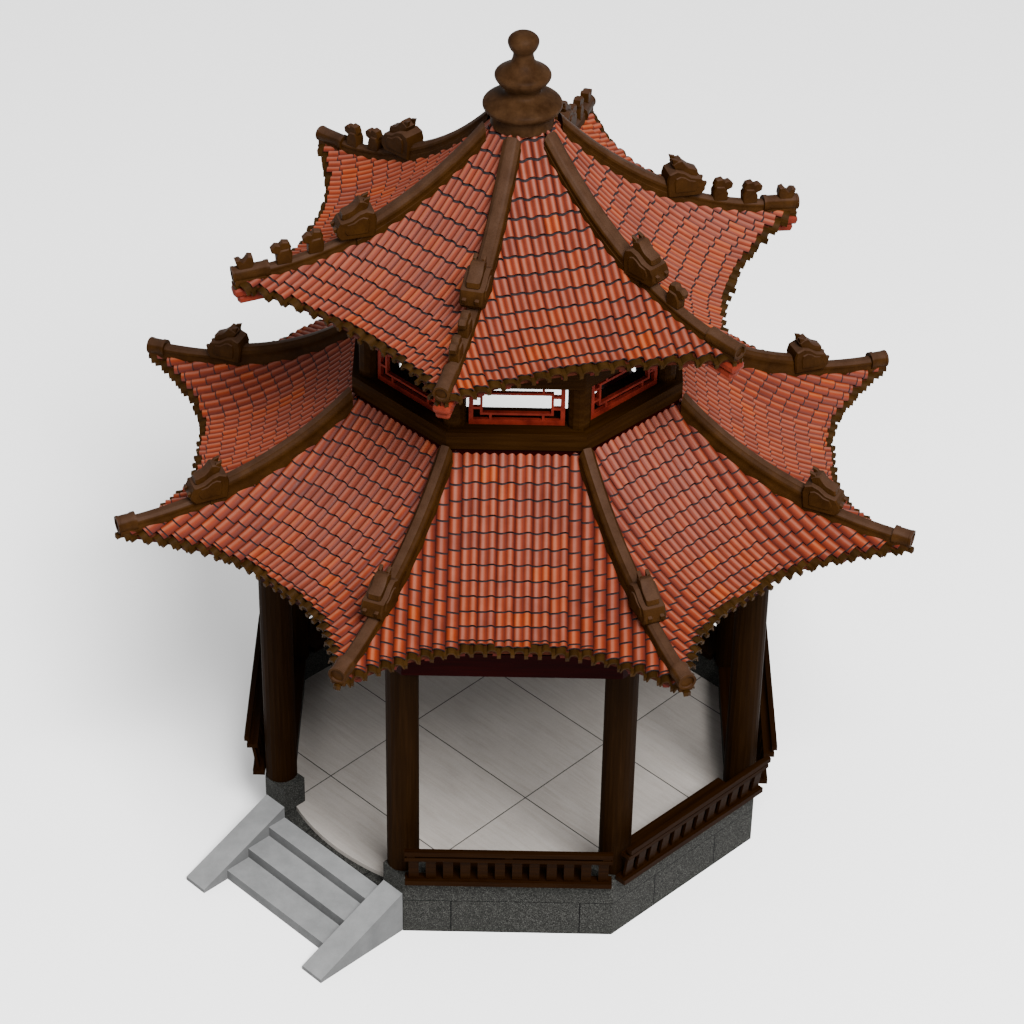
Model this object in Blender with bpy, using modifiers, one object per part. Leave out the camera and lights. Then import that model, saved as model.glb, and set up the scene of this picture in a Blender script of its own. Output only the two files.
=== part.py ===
"""Octagonal garden pavilion: stone podium with a stair, eight timber columns, benches
between them, an octagonal lower roof, a windowed drum and a six-sided upper roof.

Metres, +Z up. The origin is on the pavilion's axis at ground level, the front face looks
along -Y and the stair leaves the front-left face. Pieces of one face are modelled on the
front face, where X is the lateral way and -Y is outwards, and are turned into place.
"""
import math

import bmesh
import bpy
from mathutils import Matrix, Vector
from mathutils.bvhtree import BVHTree

# Clearance between touching pieces, and how far pieces that are fused reach into each other
GAP = 0.0003
BITE = 0.01
# Distance under which points are one, and angles under which faces are flat
MERGE = 0.00001
OUTLINE_FLAT = 0.0001
FUSED_FLAT = 0.0005

# Plan of the octagon
SIDES = 8
SECTOR = 2.0 * math.pi / SIDES
HALF_TAN = math.tan(SECTOR / 2.0)
PLINTH_RADIUS = 2.75
PLINTH_APOTHEM = PLINTH_RADIUS * math.cos(SECTOR / 2.0)
STAIR_FACE = 7
BENCH_FACES = range(7)

# Podium, paving and low stone wall
PODIUM_TOP = 0.37
FLOOR_TOP = 0.42
CURB_TOP = 0.74
CURB_THICKNESS = 0.28
PAVING_RADIUS = 2.50
STAIR_OPENING = 1.514
ARC_STEPS = 12

# Stair
TREAD_TOPS = (0.36, 0.24, 0.12)
TREAD_FRONTS = (2.76, 3.045, 3.335)
STEP_WIDTH = 1.52
CHEEK_WIDTH = 0.28
CHEEK_BACK_HEIGHT = 0.50
CHEEK_FRONT_HEIGHT = 0.045
CHEEK_FRONT = 3.65

# Columns and the timber frame on them
COLUMN_RING_RADIUS = 2.571
# The four columns of the front and back faces stand a little wider apart and further in than the rest
WIDE_COLUMN = (1.06, 2.30)
COLUMN_RADIUS = 0.163
COLUMN_SIDES = 20
LINTEL_BOTTOM = 3.33
LINTEL_TOP = 3.60
LINTEL_INNER = 2.44
LINTEL_OUTER = 2.545
EAVE_BEAM_BOTTOM = 4.02
EAVE_BEAM_TOP = 4.24
EAVE_BEAM_WIDTH = 0.20

# Benches
SEAT_TOP = 0.80
SEAT_INNER = 2.24
SEAT_OUTER = 2.67
SEAT_END = 0.812
SEAT_END_AT_WIDE = 0.705
BENCH_HALF = 1.03
SEAT_STEP = 2.546
RAIL_TOP = 1.25
RAIL_HEIGHT = 0.055
RAIL_INNER = 2.69
RAIL_OUTER = 2.745
LOW_RAIL_TOP = 1.15
LOW_RAIL_HEIGHT = 0.045
LOW_RAIL_INNER = 2.61
LOW_RAIL_OUTER = 2.72
SPACER_INSET = 0.06
SPACER_HALF = 0.04
SPACER_INNER = 2.695
SPACER_OUTER = 2.715
PICKETS = 12
PICKET_WIDTH = 0.10
PICKET_THICKNESS = 0.03
PICKET_FOOT = 2.615
PICKET_HEAD = 2.665

# Drum between the roofs
SILL_BOTTOM = 5.30
SILL_TOP = 5.485
SILL_OUTER = 1.59
SILL_INNER = 1.15
DRUM_POST_RING = 1.53
DRUM_POST_RADIUS = 0.11
DRUM_POST_SIDES = 12
DRUM_POST_BITE = 0.05
HEAD_BOTTOM = 5.95
HEAD_TOP = 6.13
HEAD_OUTER = 1.53
HEAD_INNER = 1.22
WINDOW_APOTHEM = 1.42
WINDOW_HALF = 0.452
WINDOW_THICKNESS = 0.04
WINDOW_STILE = 0.042
WINDOW_RAIL = 0.055
# Bars of the windows: width, the inner rectangle, and the short ties between it and the frame
BAR = 0.024
INNER_HALF = 0.334
INNER_LOW = 5.605
INNER_HIGH = 5.830
TIE_PLACE = 0.248
TIE_HEIGHTS = (5.668, 5.795)

# Roof decks: sides, turn of a face, inner and mid-eave apothem, extra reach of the
# corners, top of the deck at its inner edge, fall, hollow of the slope, corner rise, strips of
# the underside, rows down the slope, and width of the middle tile rows, their number, and
# width of the tile rows beside them
DECK_DEPTH = 0.10
LOWER_ROOF = {
    "sides": 8, "turn": -math.pi / 2.0, "inner": 1.45, "outer": 3.15, "flare": 0.66,
    "top": 5.29, "fall": 1.15, "hollow": 0.66, "rise": 0.10, "columns": 8, "rows": 6,
    "wide": 0.168, "wide_count": 6, "narrow": 0.1185,
}
UPPER_ROOF = {
    "sides": 6, "turn": math.radians(-74.0), "inner": 0.22, "outer": 2.05, "flare": 0.37,
    "top": 7.92, "fall": 1.46, "hollow": 0.70, "rise": 0.13, "columns": 8, "rows": 6,
    "wide": 0.150, "wide_count": 18, "narrow": 0.150,
}
FLARE_START = 0.22
FLARE_POWER = 1.7
# Tile rows: share of a row's width and lift over the deck of its lines, and how near a hip they run
WIDE_TILE = ((0.0, 0.022), (0.28, 0.052), (0.57, 0.030), (0.79, 0.050))
NARROW_TILE = ((0.0, 0.022), (0.5, 0.052))
TILE_MARGIN = 0.03
HIP_MARGIN = 0.20
# Timber plates that carry the decks: inner and outer distance, half length, and drop of the
# plates' top and of the curb's foot from the deck's top
LOWER_PLATE = (2.31, 2.43)
LOWER_PLATE_HALF = 0.60
LOWER_CURB = (1.30, 1.56)
UPPER_PLATE = (1.25, 1.37)
UPPER_PLATE_HALF = 0.45
PLATE_DROP = 0.0405
CURB_DROP = 0.18

# Hip ridges: width and height of the thick and the thin part, place of the block, tube at the
# end, and the places of the small figures
LOWER_RIDGE = {"width": 0.155, "height": 0.225, "thin_width": 0.13, "thin_height": 0.14,
               "start": 0.09, "block": 0.70, "tube": 0.18, "tube_radius": 0.085, "figures": ()}
UPPER_RIDGE = {"width": 0.18, "height": 0.17, "thin_width": 0.13, "thin_height": 0.12,
               "start": 0.055, "block": 0.575, "tube": 0.34, "tube_radius": 0.075, "figures": (0.72, 0.83)}
RIDGE_END = 0.995
# Shares of a ridge's half width: fall of its shoulders and half of its flat top
SHOULDER_SHARE = 0.35
TOP_SHARE = 0.6
# Length down the hip over which a ridge steps down at its block, and the least one between stations
BLOCK_STEP = 0.001
STATION_MARGIN = 0.02
# Reach down the hip for its slope, halvings for a place on it, and slack of its facets' numbers
SLOPE_REACH = 0.05
HALVINGS = 40
FACET_SLACK = 0.000001
TUBE_SIDES = 10
TUBE_LIFT = 0.012
# Share of the deck's fall beside the hip that a ridge's skirt follows, and the fall at the tip
SKIRT_SHARE = 0.3
TIP_FALL = 0.010
# Side outlines of the ornaments: distance outwards and height over the deck or the ridge's top
BLOCK_OUTLINE = ((-0.17, 0.10), (0.16, 0.09), (0.20, 0.19), (0.13, 0.28), (-0.08, 0.38), (-0.19, 0.31))
BLOCK_HALF = 0.11
HEAD_OUTLINE = ((-0.09, 0.33), (0.09, 0.26), (0.13, 0.35), (0.02, 0.41), (-0.05, 0.47), (-0.13, 0.44))
HEAD_HALF = 0.065
FIGURE_OUTLINE = ((-0.05, -0.02), (0.05, -0.02), (0.055, 0.09), (0.13, 0.13), (0.10, 0.19), (-0.055, 0.14))
FIGURE_HALF = 0.05
TIP_OUTLINE = ((-0.06, 0.10), (0.03, 0.10), (0.09, 0.24), (0.02, 0.22), (-0.04, 0.28), (-0.09, 0.20))
TIP_HALF = 0.045
TIP_INSET = 0.10
# Upper ridges whose figure at the tip, or second figure, is there
WITH_TIP_FIGURE = (2, 3, 5)
WITH_SECOND_FIGURE = (2, 3, 4, 5, 6)

# Corner beams under the upper hips: inner and outer distance, width, height, drop from the hip
NOSE_INNER = 2.27
NOSE_OUTER = 2.81
NOSE_WIDTH = 0.16
NOSE_HEIGHT = 0.17
NOSE_DROP = 0.045

# Finial profile, radius and height, from the base up
FINIAL_FOOT = 7.9203
FINIAL_PROFILE = (
    (0.300, 7.9203), (0.300, 8.045), (0.352, 8.075), (0.375, 8.115), (0.360, 8.150),
    (0.290, 8.190), (0.200, 8.225), (0.172, 8.255), (0.185, 8.300), (0.240, 8.360),
    (0.266, 8.410), (0.250, 8.450), (0.185, 8.490), (0.125, 8.540), (0.100, 8.600),
    (0.098, 8.650), (0.125, 8.690), (0.146, 8.745), (0.140, 8.790), (0.100, 8.830),
    (0.050, 8.845),
)
FINIAL_TOP = 8.846
FINIAL_STEPS = 20

COLLECTION = "octagonal_pavilion"

COLOURS = {
    "granite": ((0.075, 0.075, 0.070), 0.75),
    "pale_stone": ((0.36, 0.36, 0.36), 0.80),
    "paving": ((0.30, 0.27, 0.24), 0.45),
    "dark_wood": ((0.020, 0.008, 0.003), 0.50),
    "bench_wood": ((0.040, 0.014, 0.003), 0.50),
    "red_paint": ((0.110, 0.012, 0.005), 0.55),
    "roof_tile": ((0.42, 0.095, 0.045), 0.50),
    "ridge_tile": ((0.055, 0.025, 0.010), 0.60),
}


def clear_scene():
    """Remove what the opened file holds."""
    for thing in list(bpy.data.objects):
        bpy.data.objects.remove(thing, do_unlink=True)
    for group in list(bpy.data.collections):
        bpy.data.collections.remove(group)


def make_collection(name):
    group = bpy.data.collections.new(name)
    bpy.context.scene.collection.children.link(group)
    return group


def make_material(name):
    """One Principled material with the piece's colour and roughness."""
    colour, roughness = COLOURS[name]
    material = bpy.data.materials.get(name) or bpy.data.materials.new(name)
    material.use_nodes = True
    shader = material.node_tree.nodes["Principled BSDF"]
    shader.inputs["Base Color"].default_value = (*colour, 1.0)
    shader.inputs["Roughness"].default_value = roughness
    shader.inputs["Metallic"].default_value = 0.0
    return material


def mesh_from(bm, name):
    """Turn a bmesh into mesh data with its faces pointing out."""
    bmesh.ops.recalc_face_normals(bm, faces=bm.faces)
    mesh = bpy.data.meshes.new(name)
    bm.to_mesh(mesh)
    bm.free()
    return mesh


def place(name, mesh, material, group, turn=0.0, location=(0.0, 0.0, 0.0)):
    """Make one named object of a mesh, turned about the pavilion's axis."""
    thing = bpy.data.objects.new(name, mesh)
    if not mesh.materials:
        mesh.materials.append(make_material(material))
    thing.location = location
    thing.rotation_euler = (0.0, 0.0, turn)
    group.objects.link(thing)
    return thing


def smooth(mesh, angle=35.0):
    mesh.shade_smooth()
    mesh.set_sharp_from_angle(angle=math.radians(angle))


def outline_mesh(name, outlines, low, high):
    """A flat outline, with holes where it has more than one loop, raised from low to high."""
    curve = bpy.data.curves.new(name, "CURVE")
    curve.dimensions = "2D"
    curve.fill_mode = "BOTH"
    curve.extrude = (high - low) / 2.0
    for outline in outlines:
        spline = curve.splines.new("POLY")
        spline.points.add(len(outline) - 1)
        for point, (x, y) in zip(spline.points, outline):
            point.co = (x, y, 0.0, 1.0)
        spline.use_cyclic_u = True
    carrier = bpy.data.objects.new(name, curve)
    bpy.context.scene.collection.objects.link(carrier)
    bpy.context.view_layer.update()
    evaluated = carrier.evaluated_get(bpy.context.evaluated_depsgraph_get())
    mesh = bpy.data.meshes.new_from_object(evaluated)
    bpy.data.objects.remove(carrier, do_unlink=True)
    bpy.data.curves.remove(curve)
    bm = bmesh.new()
    bm.from_mesh(mesh)
    bmesh.ops.remove_doubles(bm, verts=bm.verts, dist=MERGE)
    bmesh.ops.dissolve_limit(bm, angle_limit=OUTLINE_FLAT, verts=bm.verts, edges=bm.edges)
    bmesh.ops.translate(bm, verts=bm.verts, vec=(0.0, 0.0, (low + high) / 2.0))
    bpy.data.meshes.remove(mesh)
    return mesh_from(bm, name)


def add_box(bm, low, high, tilt=None):
    """Add a box between two corners, then move it by tilt if one is given."""
    low, high = Vector(low), Vector(high)
    frame = Matrix.Translation((low + high) / 2.0) @ Matrix.Diagonal((*(high - low), 1.0))
    if tilt is not None:
        frame = tilt @ frame
    bmesh.ops.create_cube(bm, size=1.0, matrix=frame)


def cylinder_mesh(name, radius, low, high, sides, centre=(0.0, 0.0)):
    bm = bmesh.new()
    add_cylinder(bm, radius, low, high, sides, centre)
    mesh = mesh_from(bm, name)
    smooth(mesh)
    return mesh


def add_cylinder(bm, radius, low, high, sides, centre=(0.0, 0.0)):
    middle = Matrix.Translation((centre[0], centre[1], (low + high) / 2.0))
    bmesh.ops.create_cone(bm, cap_ends=True, segments=sides, radius1=radius, radius2=radius,
                          depth=high - low, matrix=middle)


def fuse(name, meshes, flatten=True):
    """Join overlapping solids into one closed body, and merge its flat faces if asked."""
    base = bpy.data.objects.new(name + "_base", meshes[0])
    bpy.context.scene.collection.objects.link(base)
    tools = []
    for mesh in meshes[1:]:
        tool = bpy.data.objects.new(name + "_tool", mesh)
        bpy.context.scene.collection.objects.link(tool)
        tools.append(tool)
        union = base.modifiers.new("union", "BOOLEAN")
        union.operation = "UNION"
        union.solver = "EXACT"
        union.object = tool
    bpy.context.view_layer.update()
    evaluated = base.evaluated_get(bpy.context.evaluated_depsgraph_get())
    result = bpy.data.meshes.new_from_object(evaluated)
    result.name = name
    result.materials.clear()
    for thing in [base] + tools:
        bpy.data.objects.remove(thing, do_unlink=True)
    if not flatten:
        return result
    bm = bmesh.new()
    bm.from_mesh(result)
    bmesh.ops.remove_doubles(bm, verts=bm.verts, dist=MERGE)
    bmesh.ops.dissolve_limit(bm, angle_limit=FUSED_FLAT, verts=bm.verts, edges=bm.edges)
    bpy.data.meshes.remove(result)
    return mesh_from(bm, name)


def face_turn(face):
    return face * SECTOR


def polygon(apothem, sides=SIDES, face_angle=-math.pi / 2.0):
    """Corners of a regular polygon with one face looking along face_angle."""
    radius = apothem / math.cos(math.pi / sides)
    start = face_angle + math.pi / sides
    step = 2.0 * math.pi / sides
    return [(radius * math.cos(start + k * step), radius * math.sin(start + k * step))
            for k in range(sides)]


def ring_mesh(name, inner, outer, low, high, sides=SIDES, face_angle=-math.pi / 2.0):
    """A many-sided ring beam."""
    loops = [polygon(outer, sides, face_angle), polygon(inner, sides, face_angle)]
    return outline_mesh(name, loops, low, high)


def mitre(out, clearance=GAP):
    """Lateral reach of a face's piece at a distance from the axis."""
    return out * HALF_TAN - clearance


def build_podium(group):
    mesh = outline_mesh("podium", [polygon(PLINTH_APOTHEM)], 0.0, PODIUM_TOP)
    place("podium", mesh, "granite", group)
    inner = PLINTH_APOTHEM - CURB_THICKNESS
    for number, face in enumerate(BENCH_FACES, start=1):
        low, high = PODIUM_TOP + GAP, CURB_TOP
        outline = [(-mitre(PLINTH_APOTHEM), -PLINTH_APOTHEM), (mitre(PLINTH_APOTHEM), -PLINTH_APOTHEM),
                   (mitre(inner), -inner), (-mitre(inner), -inner)]
        wall = outline_mesh("curb_wall", [outline], low, high)
        place("curb_wall_%d" % number, wall, "granite", group, face_turn(face))
    half = STAIR_OPENING / 2.0
    for side, name in ((-1.0, "left"), (1.0, "right")):
        outline = [(side * half, -PLINTH_APOTHEM), (side * mitre(PLINTH_APOTHEM), -PLINTH_APOTHEM),
                   (side * mitre(inner), -inner), (side * half, -inner)]
        pedestal = outline_mesh("stair_pedestal", [outline], PODIUM_TOP + GAP, CURB_TOP)
        place("stair_pedestal_" + name, pedestal, "granite", group, face_turn(STAIR_FACE))


def build_paving(group):
    """Stone floor, straight along the low wall and round at the stair's opening."""
    inner = PLINTH_APOTHEM - CURB_THICKNESS - GAP
    corner_radius = inner / math.cos(SECTOR / 2.0)
    half = STAIR_OPENING / 2.0 - GAP
    points = []
    for k in range(SIDES):
        angle = -math.pi / 2.0 + SECTOR / 2.0 + k * SECTOR
        points.append((corner_radius * math.cos(angle), corner_radius * math.sin(angle)))
    stair_angle = -math.pi / 2.0 + face_turn(STAIR_FACE)
    normal = Vector((math.cos(stair_angle), math.sin(stair_angle)))
    along = Vector((-normal.y, normal.x))
    arc = [tuple(normal * inner - along * half)]
    sweep = math.asin(half / PAVING_RADIUS)
    for step in range(ARC_STEPS + 1):
        angle = stair_angle - sweep + 2.0 * sweep * step / ARC_STEPS
        arc.append((PAVING_RADIUS * math.cos(angle), PAVING_RADIUS * math.sin(angle)))
    arc.append(tuple(normal * inner + along * half))
    outline = points[:STAIR_FACE] + arc + points[STAIR_FACE:]
    mesh = outline_mesh("floor_paving", [outline], PODIUM_TOP + GAP, FLOOR_TOP)
    place("floor_paving", mesh, "paving", group)


def build_stair(group):
    back = PLINTH_APOTHEM + GAP
    outline = [(back, 0.0), (TREAD_FRONTS[-1], 0.0)]
    for top, front, inner in zip(reversed(TREAD_TOPS), reversed(TREAD_FRONTS),
                                 list(reversed(TREAD_FRONTS[:-1])) + [back]):
        outline.append((front, top))
        outline.append((inner, top))
    mesh = outline_mesh("stair_steps", [outline], -STEP_WIDTH / 2.0, STEP_WIDTH / 2.0)
    upright = Matrix.Rotation(-math.pi / 2.0, 4, "Z") @ Matrix.Rotation(math.pi / 2.0, 4, "X")
    mesh.transform(upright)
    place("stair_steps", mesh, "pale_stone", group, face_turn(STAIR_FACE))
    profile = [(back, 0.0), (CHEEK_FRONT, 0.0), (CHEEK_FRONT, CHEEK_FRONT_HEIGHT),
               (back, CHEEK_BACK_HEIGHT)]
    for side, name in ((1.0, "left"), (-1.0, "right")):
        inner = STEP_WIDTH / 2.0 + GAP
        low, high = sorted((side * inner, side * (inner + CHEEK_WIDTH)))
        cheek = outline_mesh("stair_cheek", [profile], low, high)
        cheek.transform(upright)
        place("stair_cheek_" + name, cheek, "pale_stone", group, face_turn(STAIR_FACE))


def corner_angle(corner):
    """Direction of the corner after a face, counted from the front face."""
    return -math.pi / 2.0 + SECTOR / 2.0 + corner * SECTOR


def column_place(corner):
    """Centre of the column at a corner."""
    angle = corner_angle(corner)
    x, y = COLUMN_RING_RADIUS * math.cos(angle), COLUMN_RING_RADIUS * math.sin(angle)
    if abs(y) > abs(x):
        return math.copysign(WIDE_COLUMN[0], x), math.copysign(WIDE_COLUMN[1], y)
    return x, y


def build_columns(group):
    mesh = cylinder_mesh("column", COLUMN_RADIUS, CURB_TOP + GAP, LINTEL_BOTTOM - GAP, COLUMN_SIDES)
    for corner in range(SIDES):
        x, y = column_place(corner)
        place("column_%d" % (corner + 1), mesh, "dark_wood", group, corner_angle(corner), (x, y, 0.0))


def bench_mesh(left, right):
    """A seat plank on the low wall, with a picket backrest that leans out past the columns.

    The seat reaches left and right between the two columns of its face."""
    seat_outline = [(-left, -SEAT_INNER), (-left, -SEAT_STEP), (-BENCH_HALF, -SEAT_STEP),
                    (-BENCH_HALF, -SEAT_OUTER), (BENCH_HALF, -SEAT_OUTER), (BENCH_HALF, -SEAT_STEP),
                    (right, -SEAT_STEP), (right, -SEAT_INNER)]
    seat = outline_mesh("seat", [seat_outline], CURB_TOP + GAP, SEAT_TOP)
    rails = bmesh.new()
    add_box(rails, (-BENCH_HALF, -RAIL_OUTER, RAIL_TOP - RAIL_HEIGHT), (BENCH_HALF, -RAIL_INNER, RAIL_TOP))
    add_box(rails, (-BENCH_HALF, -LOW_RAIL_OUTER, LOW_RAIL_TOP - LOW_RAIL_HEIGHT),
            (BENCH_HALF, -LOW_RAIL_INNER, LOW_RAIL_TOP))
    pickets = bmesh.new()
    for middle in (-BENCH_HALF + SPACER_INSET, 0.0, BENCH_HALF - SPACER_INSET):
        add_box(pickets, (middle - SPACER_HALF, -SPACER_OUTER, LOW_RAIL_TOP - BITE),
                (middle + SPACER_HALF, -SPACER_INNER, RAIL_TOP - RAIL_HEIGHT + BITE))
    foot, head = SEAT_TOP - BITE, LOW_RAIL_TOP - LOW_RAIL_HEIGHT + BITE
    lean = math.atan2(PICKET_HEAD - PICKET_FOOT, head - foot)
    pitch = 2.0 * BENCH_HALF / PICKETS
    for number in range(PICKETS):
        middle = -BENCH_HALF + (number + 0.5) * pitch
        hinge = Matrix.Translation((middle, -PICKET_FOOT, foot))
        tilt = hinge @ Matrix.Rotation(lean, 4, "X")
        add_box(pickets, (-PICKET_WIDTH / 2.0, -PICKET_THICKNESS / 2.0, 0.0),
                (PICKET_WIDTH / 2.0, PICKET_THICKNESS / 2.0, (head - foot) / math.cos(lean)), tilt)
    return fuse("bench", [seat, mesh_from(pickets, "pickets"), mesh_from(rails, "rails")])


def build_benches(group):
    """The benches of the diagonal faces are cut shorter where they meet a wide-standing column."""
    main = bench_mesh(SEAT_END, SEAT_END)
    meshes = [main, bench_mesh(SEAT_END_AT_WIDE, SEAT_END), main, bench_mesh(SEAT_END, SEAT_END_AT_WIDE)]
    for number, face in enumerate(BENCH_FACES, start=1):
        place("bench_%d" % number, meshes[face % len(meshes)], "bench_wood", group, face_turn(face))


def build_eave_frame(group):
    """Lintels with the column heads above them, and the ring of eave beams on the heads."""
    lintel = ring_mesh("lintel", LINTEL_INNER, LINTEL_OUTER, LINTEL_BOTTOM, LINTEL_TOP)
    heads = bmesh.new()
    for corner in range(SIDES):
        add_cylinder(heads, COLUMN_RADIUS, LINTEL_BOTTOM, EAVE_BEAM_BOTTOM - GAP, COLUMN_SIDES,
                     column_place(corner))
    mesh = fuse("lintel_frame", [mesh_from(heads, "heads"), lintel])
    place("lintel_frame", mesh, "red_paint", group)
    middle = COLUMN_RING_RADIUS * math.cos(SECTOR / 2.0)
    beam = ring_mesh("eave_beam", middle - EAVE_BEAM_WIDTH / 2.0, middle + EAVE_BEAM_WIDTH / 2.0,
                     EAVE_BEAM_BOTTOM, EAVE_BEAM_TOP)
    place("eave_beam", beam, "red_paint", group)


def roof_point(roof, side, down):
    """A point of a roof face: side runs from hip to hip, -1 to 1, down from ridge to eave.

    Gives the lateral place, the distance outwards and the height of the deck's top.
    """
    apothem = roof["inner"] + (roof["outer"] - roof["inner"]) * down
    bend = max(0.0, (abs(side) - FLARE_START) / (1.0 - FLARE_START)) ** FLARE_POWER
    reach = roof["flare"] * down * down
    out = apothem + reach * bend
    lateral = side * (apothem + reach) * math.tan(math.pi / roof["sides"])
    slope = (1.0 + roof["hollow"]) * down - roof["hollow"] * down * down
    height = roof["top"] - roof["fall"] * slope + roof["rise"] * bend * down ** 3
    return lateral, out, height


def half_width(roof, down):
    """Lateral place of the hip at a place down the roof."""
    return roof_point(roof, 1.0, down)[0]


def tile_lines(roof):
    """Lateral places of the crests and valleys of a face's tile rows, each with its lift."""
    half = roof["wide"] * roof["wide_count"] / 2.0
    lines = []
    for number in range(roof["wide_count"]):
        left = -half + number * roof["wide"]
        lines += [(left + share * roof["wide"], lift) for share, lift in WIDE_TILE]
    lines.append((half, WIDE_TILE[0][1]))
    reach = half
    while reach < half_width(roof, 1.0):
        for share, lift in NARROW_TILE[1:] + ((1.0, NARROW_TILE[0][1]),):
            place = reach + share * roof["narrow"]
            lines = [(-place, lift)] + lines + [(place, lift)]
        reach += roof["narrow"]
    return sorted(lines)


def deck_row(roof, lines, down):
    """Line number, lateral place, distance outwards and height of a row's points between the hips."""
    width = half_width(roof, down)
    row = []
    for number, (place, lift) in enumerate(lines):
        if abs(place) < width - TILE_MARGIN:
            out, height = roof_point(roof, place / width, down)[1:]
            raised = down > 0.0 and abs(place) < width - HIP_MARGIN
            row.append((number, place, out, height + (lift if raised else 0.0)))
    return row


def hip_rings(bm, roof, turns, depth):
    """Points of all hips at each row down the roof, at a depth under the deck's top."""
    rings = []
    for step in range(roof["rows"] + 1):
        lateral, out, height = roof_point(roof, 1.0, step / roof["rows"])
        rings.append([bm.verts.new(turn @ Vector((lateral, -out, height - depth))) for turn in turns])
    return rings


def tiled_rows(bm, roof, turn, hips, face):
    """Rows of points of a face's tile rows: left hip, points by line number, right hip."""
    lines = tile_lines(roof)
    rows = []
    for step, ring in enumerate(hips):
        points = {line: bm.verts.new(turn @ Vector((place, -out, height)))
                  for line, place, out, height in deck_row(roof, lines, step / roof["rows"])}
        rows.append((ring[face - 1], points, ring[face]))
    return rows


def under_rows(bm, roof, turn, hips, face):
    """Rows of points of a face's smooth underside, from hip to hip."""
    rows = []
    for step, ring in enumerate(hips):
        row = [ring[face - 1]]
        for column in range(1, roof["columns"]):
            side = 2.0 * column / roof["columns"] - 1.0
            lateral, out, height = roof_point(roof, side, step / roof["rows"])
            row.append(bm.verts.new(turn @ Vector((lateral, -out, height - DECK_DEPTH))))
        rows.append(row + [ring[face]])
    return rows


def roof_deck(name, roof):
    """The whole roof: its tile rows on top, a smooth underside, and closed edges."""
    bm = bmesh.new()
    sides = roof["sides"]
    turns = [Matrix.Rotation(roof["turn"] + math.pi / 2.0 + k * 2.0 * math.pi / sides, 4, "Z")
             for k in range(sides)]
    top_hips = hip_rings(bm, roof, turns, 0.0)
    low_hips = hip_rings(bm, roof, turns, DECK_DEPTH)
    for face, turn in enumerate(turns):
        tops = tiled_rows(bm, roof, turn, top_hips, face)
        bottoms = under_rows(bm, roof, turn, low_hips, face)
        for upper, lower in zip(tops, tops[1:]):
            join_rows(bm, upper, lower)
        for upper, lower in zip(bottoms, bottoms[1:]):
            for a, b, c, d in zip(upper, upper[1:], lower[1:], lower):
                bm.faces.new((a, b, c, d))
        for end in (0, -1):
            left, points, right = tops[end]
            close_edge(bm, [left] + [points[line] for line in sorted(points)] + [right], bottoms[end])
    return mesh_from(bm, name)


def close_edge(bm, top, bottom):
    """Strip of triangles along a deck's edge, between its tile rows and its underside."""
    along = top[-1].co - top[0].co
    upper, lower = 0, 0
    while upper < len(top) - 1 or lower < len(bottom) - 1:
        at_end = lower == len(bottom) - 1
        if at_end or (upper < len(top) - 1 and (top[upper + 1].co - bottom[lower + 1].co).dot(along) < 0.0):
            bm.faces.new((top[upper], top[upper + 1], bottom[lower]))
            upper += 1
        else:
            bm.faces.new((top[upper], bottom[lower + 1], bottom[lower]))
            lower += 1


def join_rows(bm, upper, lower):
    """Skin between two rows of a deck, where the upper one reaches the hips on fewer lines."""
    low = [lower[0]] + [lower[1][line] for line in sorted(lower[1])] + [lower[2]]
    middle = sum(upper[1]) / len(upper[1])
    high = [upper[0]]
    high += [upper[1].get(line, upper[0] if line < middle else upper[2]) for line in sorted(lower[1])]
    high.append(upper[2])
    for a, b, c, d in zip(high, high[1:], low[1:], low):
        corners = [a, b, c, d] if a is not b else [a, c, d]
        bm.faces.new(corners)


def deck_height(roof, out):
    """Height of the deck's top at the middle of a face."""
    return roof_point(roof, 0.0, (out - roof["inner"]) / (roof["outer"] - roof["inner"]))[2]


def deck_plates(name, roof, plate, half, low):
    """One upright timber plate under the middle of each roof face."""
    high = deck_height(roof, sum(plate) / 2.0) - PLATE_DROP
    bm = bmesh.new()
    for face in range(roof["sides"]):
        angle = roof["turn"] + math.pi / 2.0 + face * 2.0 * math.pi / roof["sides"]
        add_box(bm, (-half, -plate[1], low), (half, -plate[0], high), Matrix.Rotation(angle, 4, "Z"))
    return mesh_from(bm, name)


def build_lower_roof(group):
    plates = deck_plates("plates", LOWER_ROOF, LOWER_PLATE, LOWER_PLATE_HALF, EAVE_BEAM_TOP + GAP)
    curb_low = deck_height(LOWER_ROOF, LOWER_CURB[1]) - CURB_DROP
    curb = ring_mesh("curb", LOWER_CURB[0], LOWER_CURB[1], curb_low, SILL_BOTTOM - GAP)
    mesh = fuse("lower_roof", [roof_deck("deck", LOWER_ROOF), plates, curb], flatten=False)
    place("lower_roof", mesh, "roof_tile", group)


def corner_noses(roof):
    """Ends of the corner beams, under the hips and past the tips."""
    bm = bmesh.new()
    middle = (NOSE_INNER + NOSE_OUTER) / 2.0
    down = hip_place(roof, middle)
    height = hip_point(roof, down)[1]
    half = (NOSE_OUTER - NOSE_INNER) / 2.0
    for number in range(roof["sides"]):
        angle = roof["turn"] + (number + 0.5) * 2.0 * math.pi / roof["sides"]
        seat = Matrix.Rotation(angle, 4, "Z") @ Matrix.Translation((middle, 0.0, height))
        tilt = seat @ Matrix.Rotation(hip_slope(roof, down), 4, "Y")
        add_box(bm, (-half, -NOSE_WIDTH / 2.0, -NOSE_DROP - NOSE_HEIGHT),
                (half, NOSE_WIDTH / 2.0, -NOSE_DROP), tilt)
    return mesh_from(bm, "noses")


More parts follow.
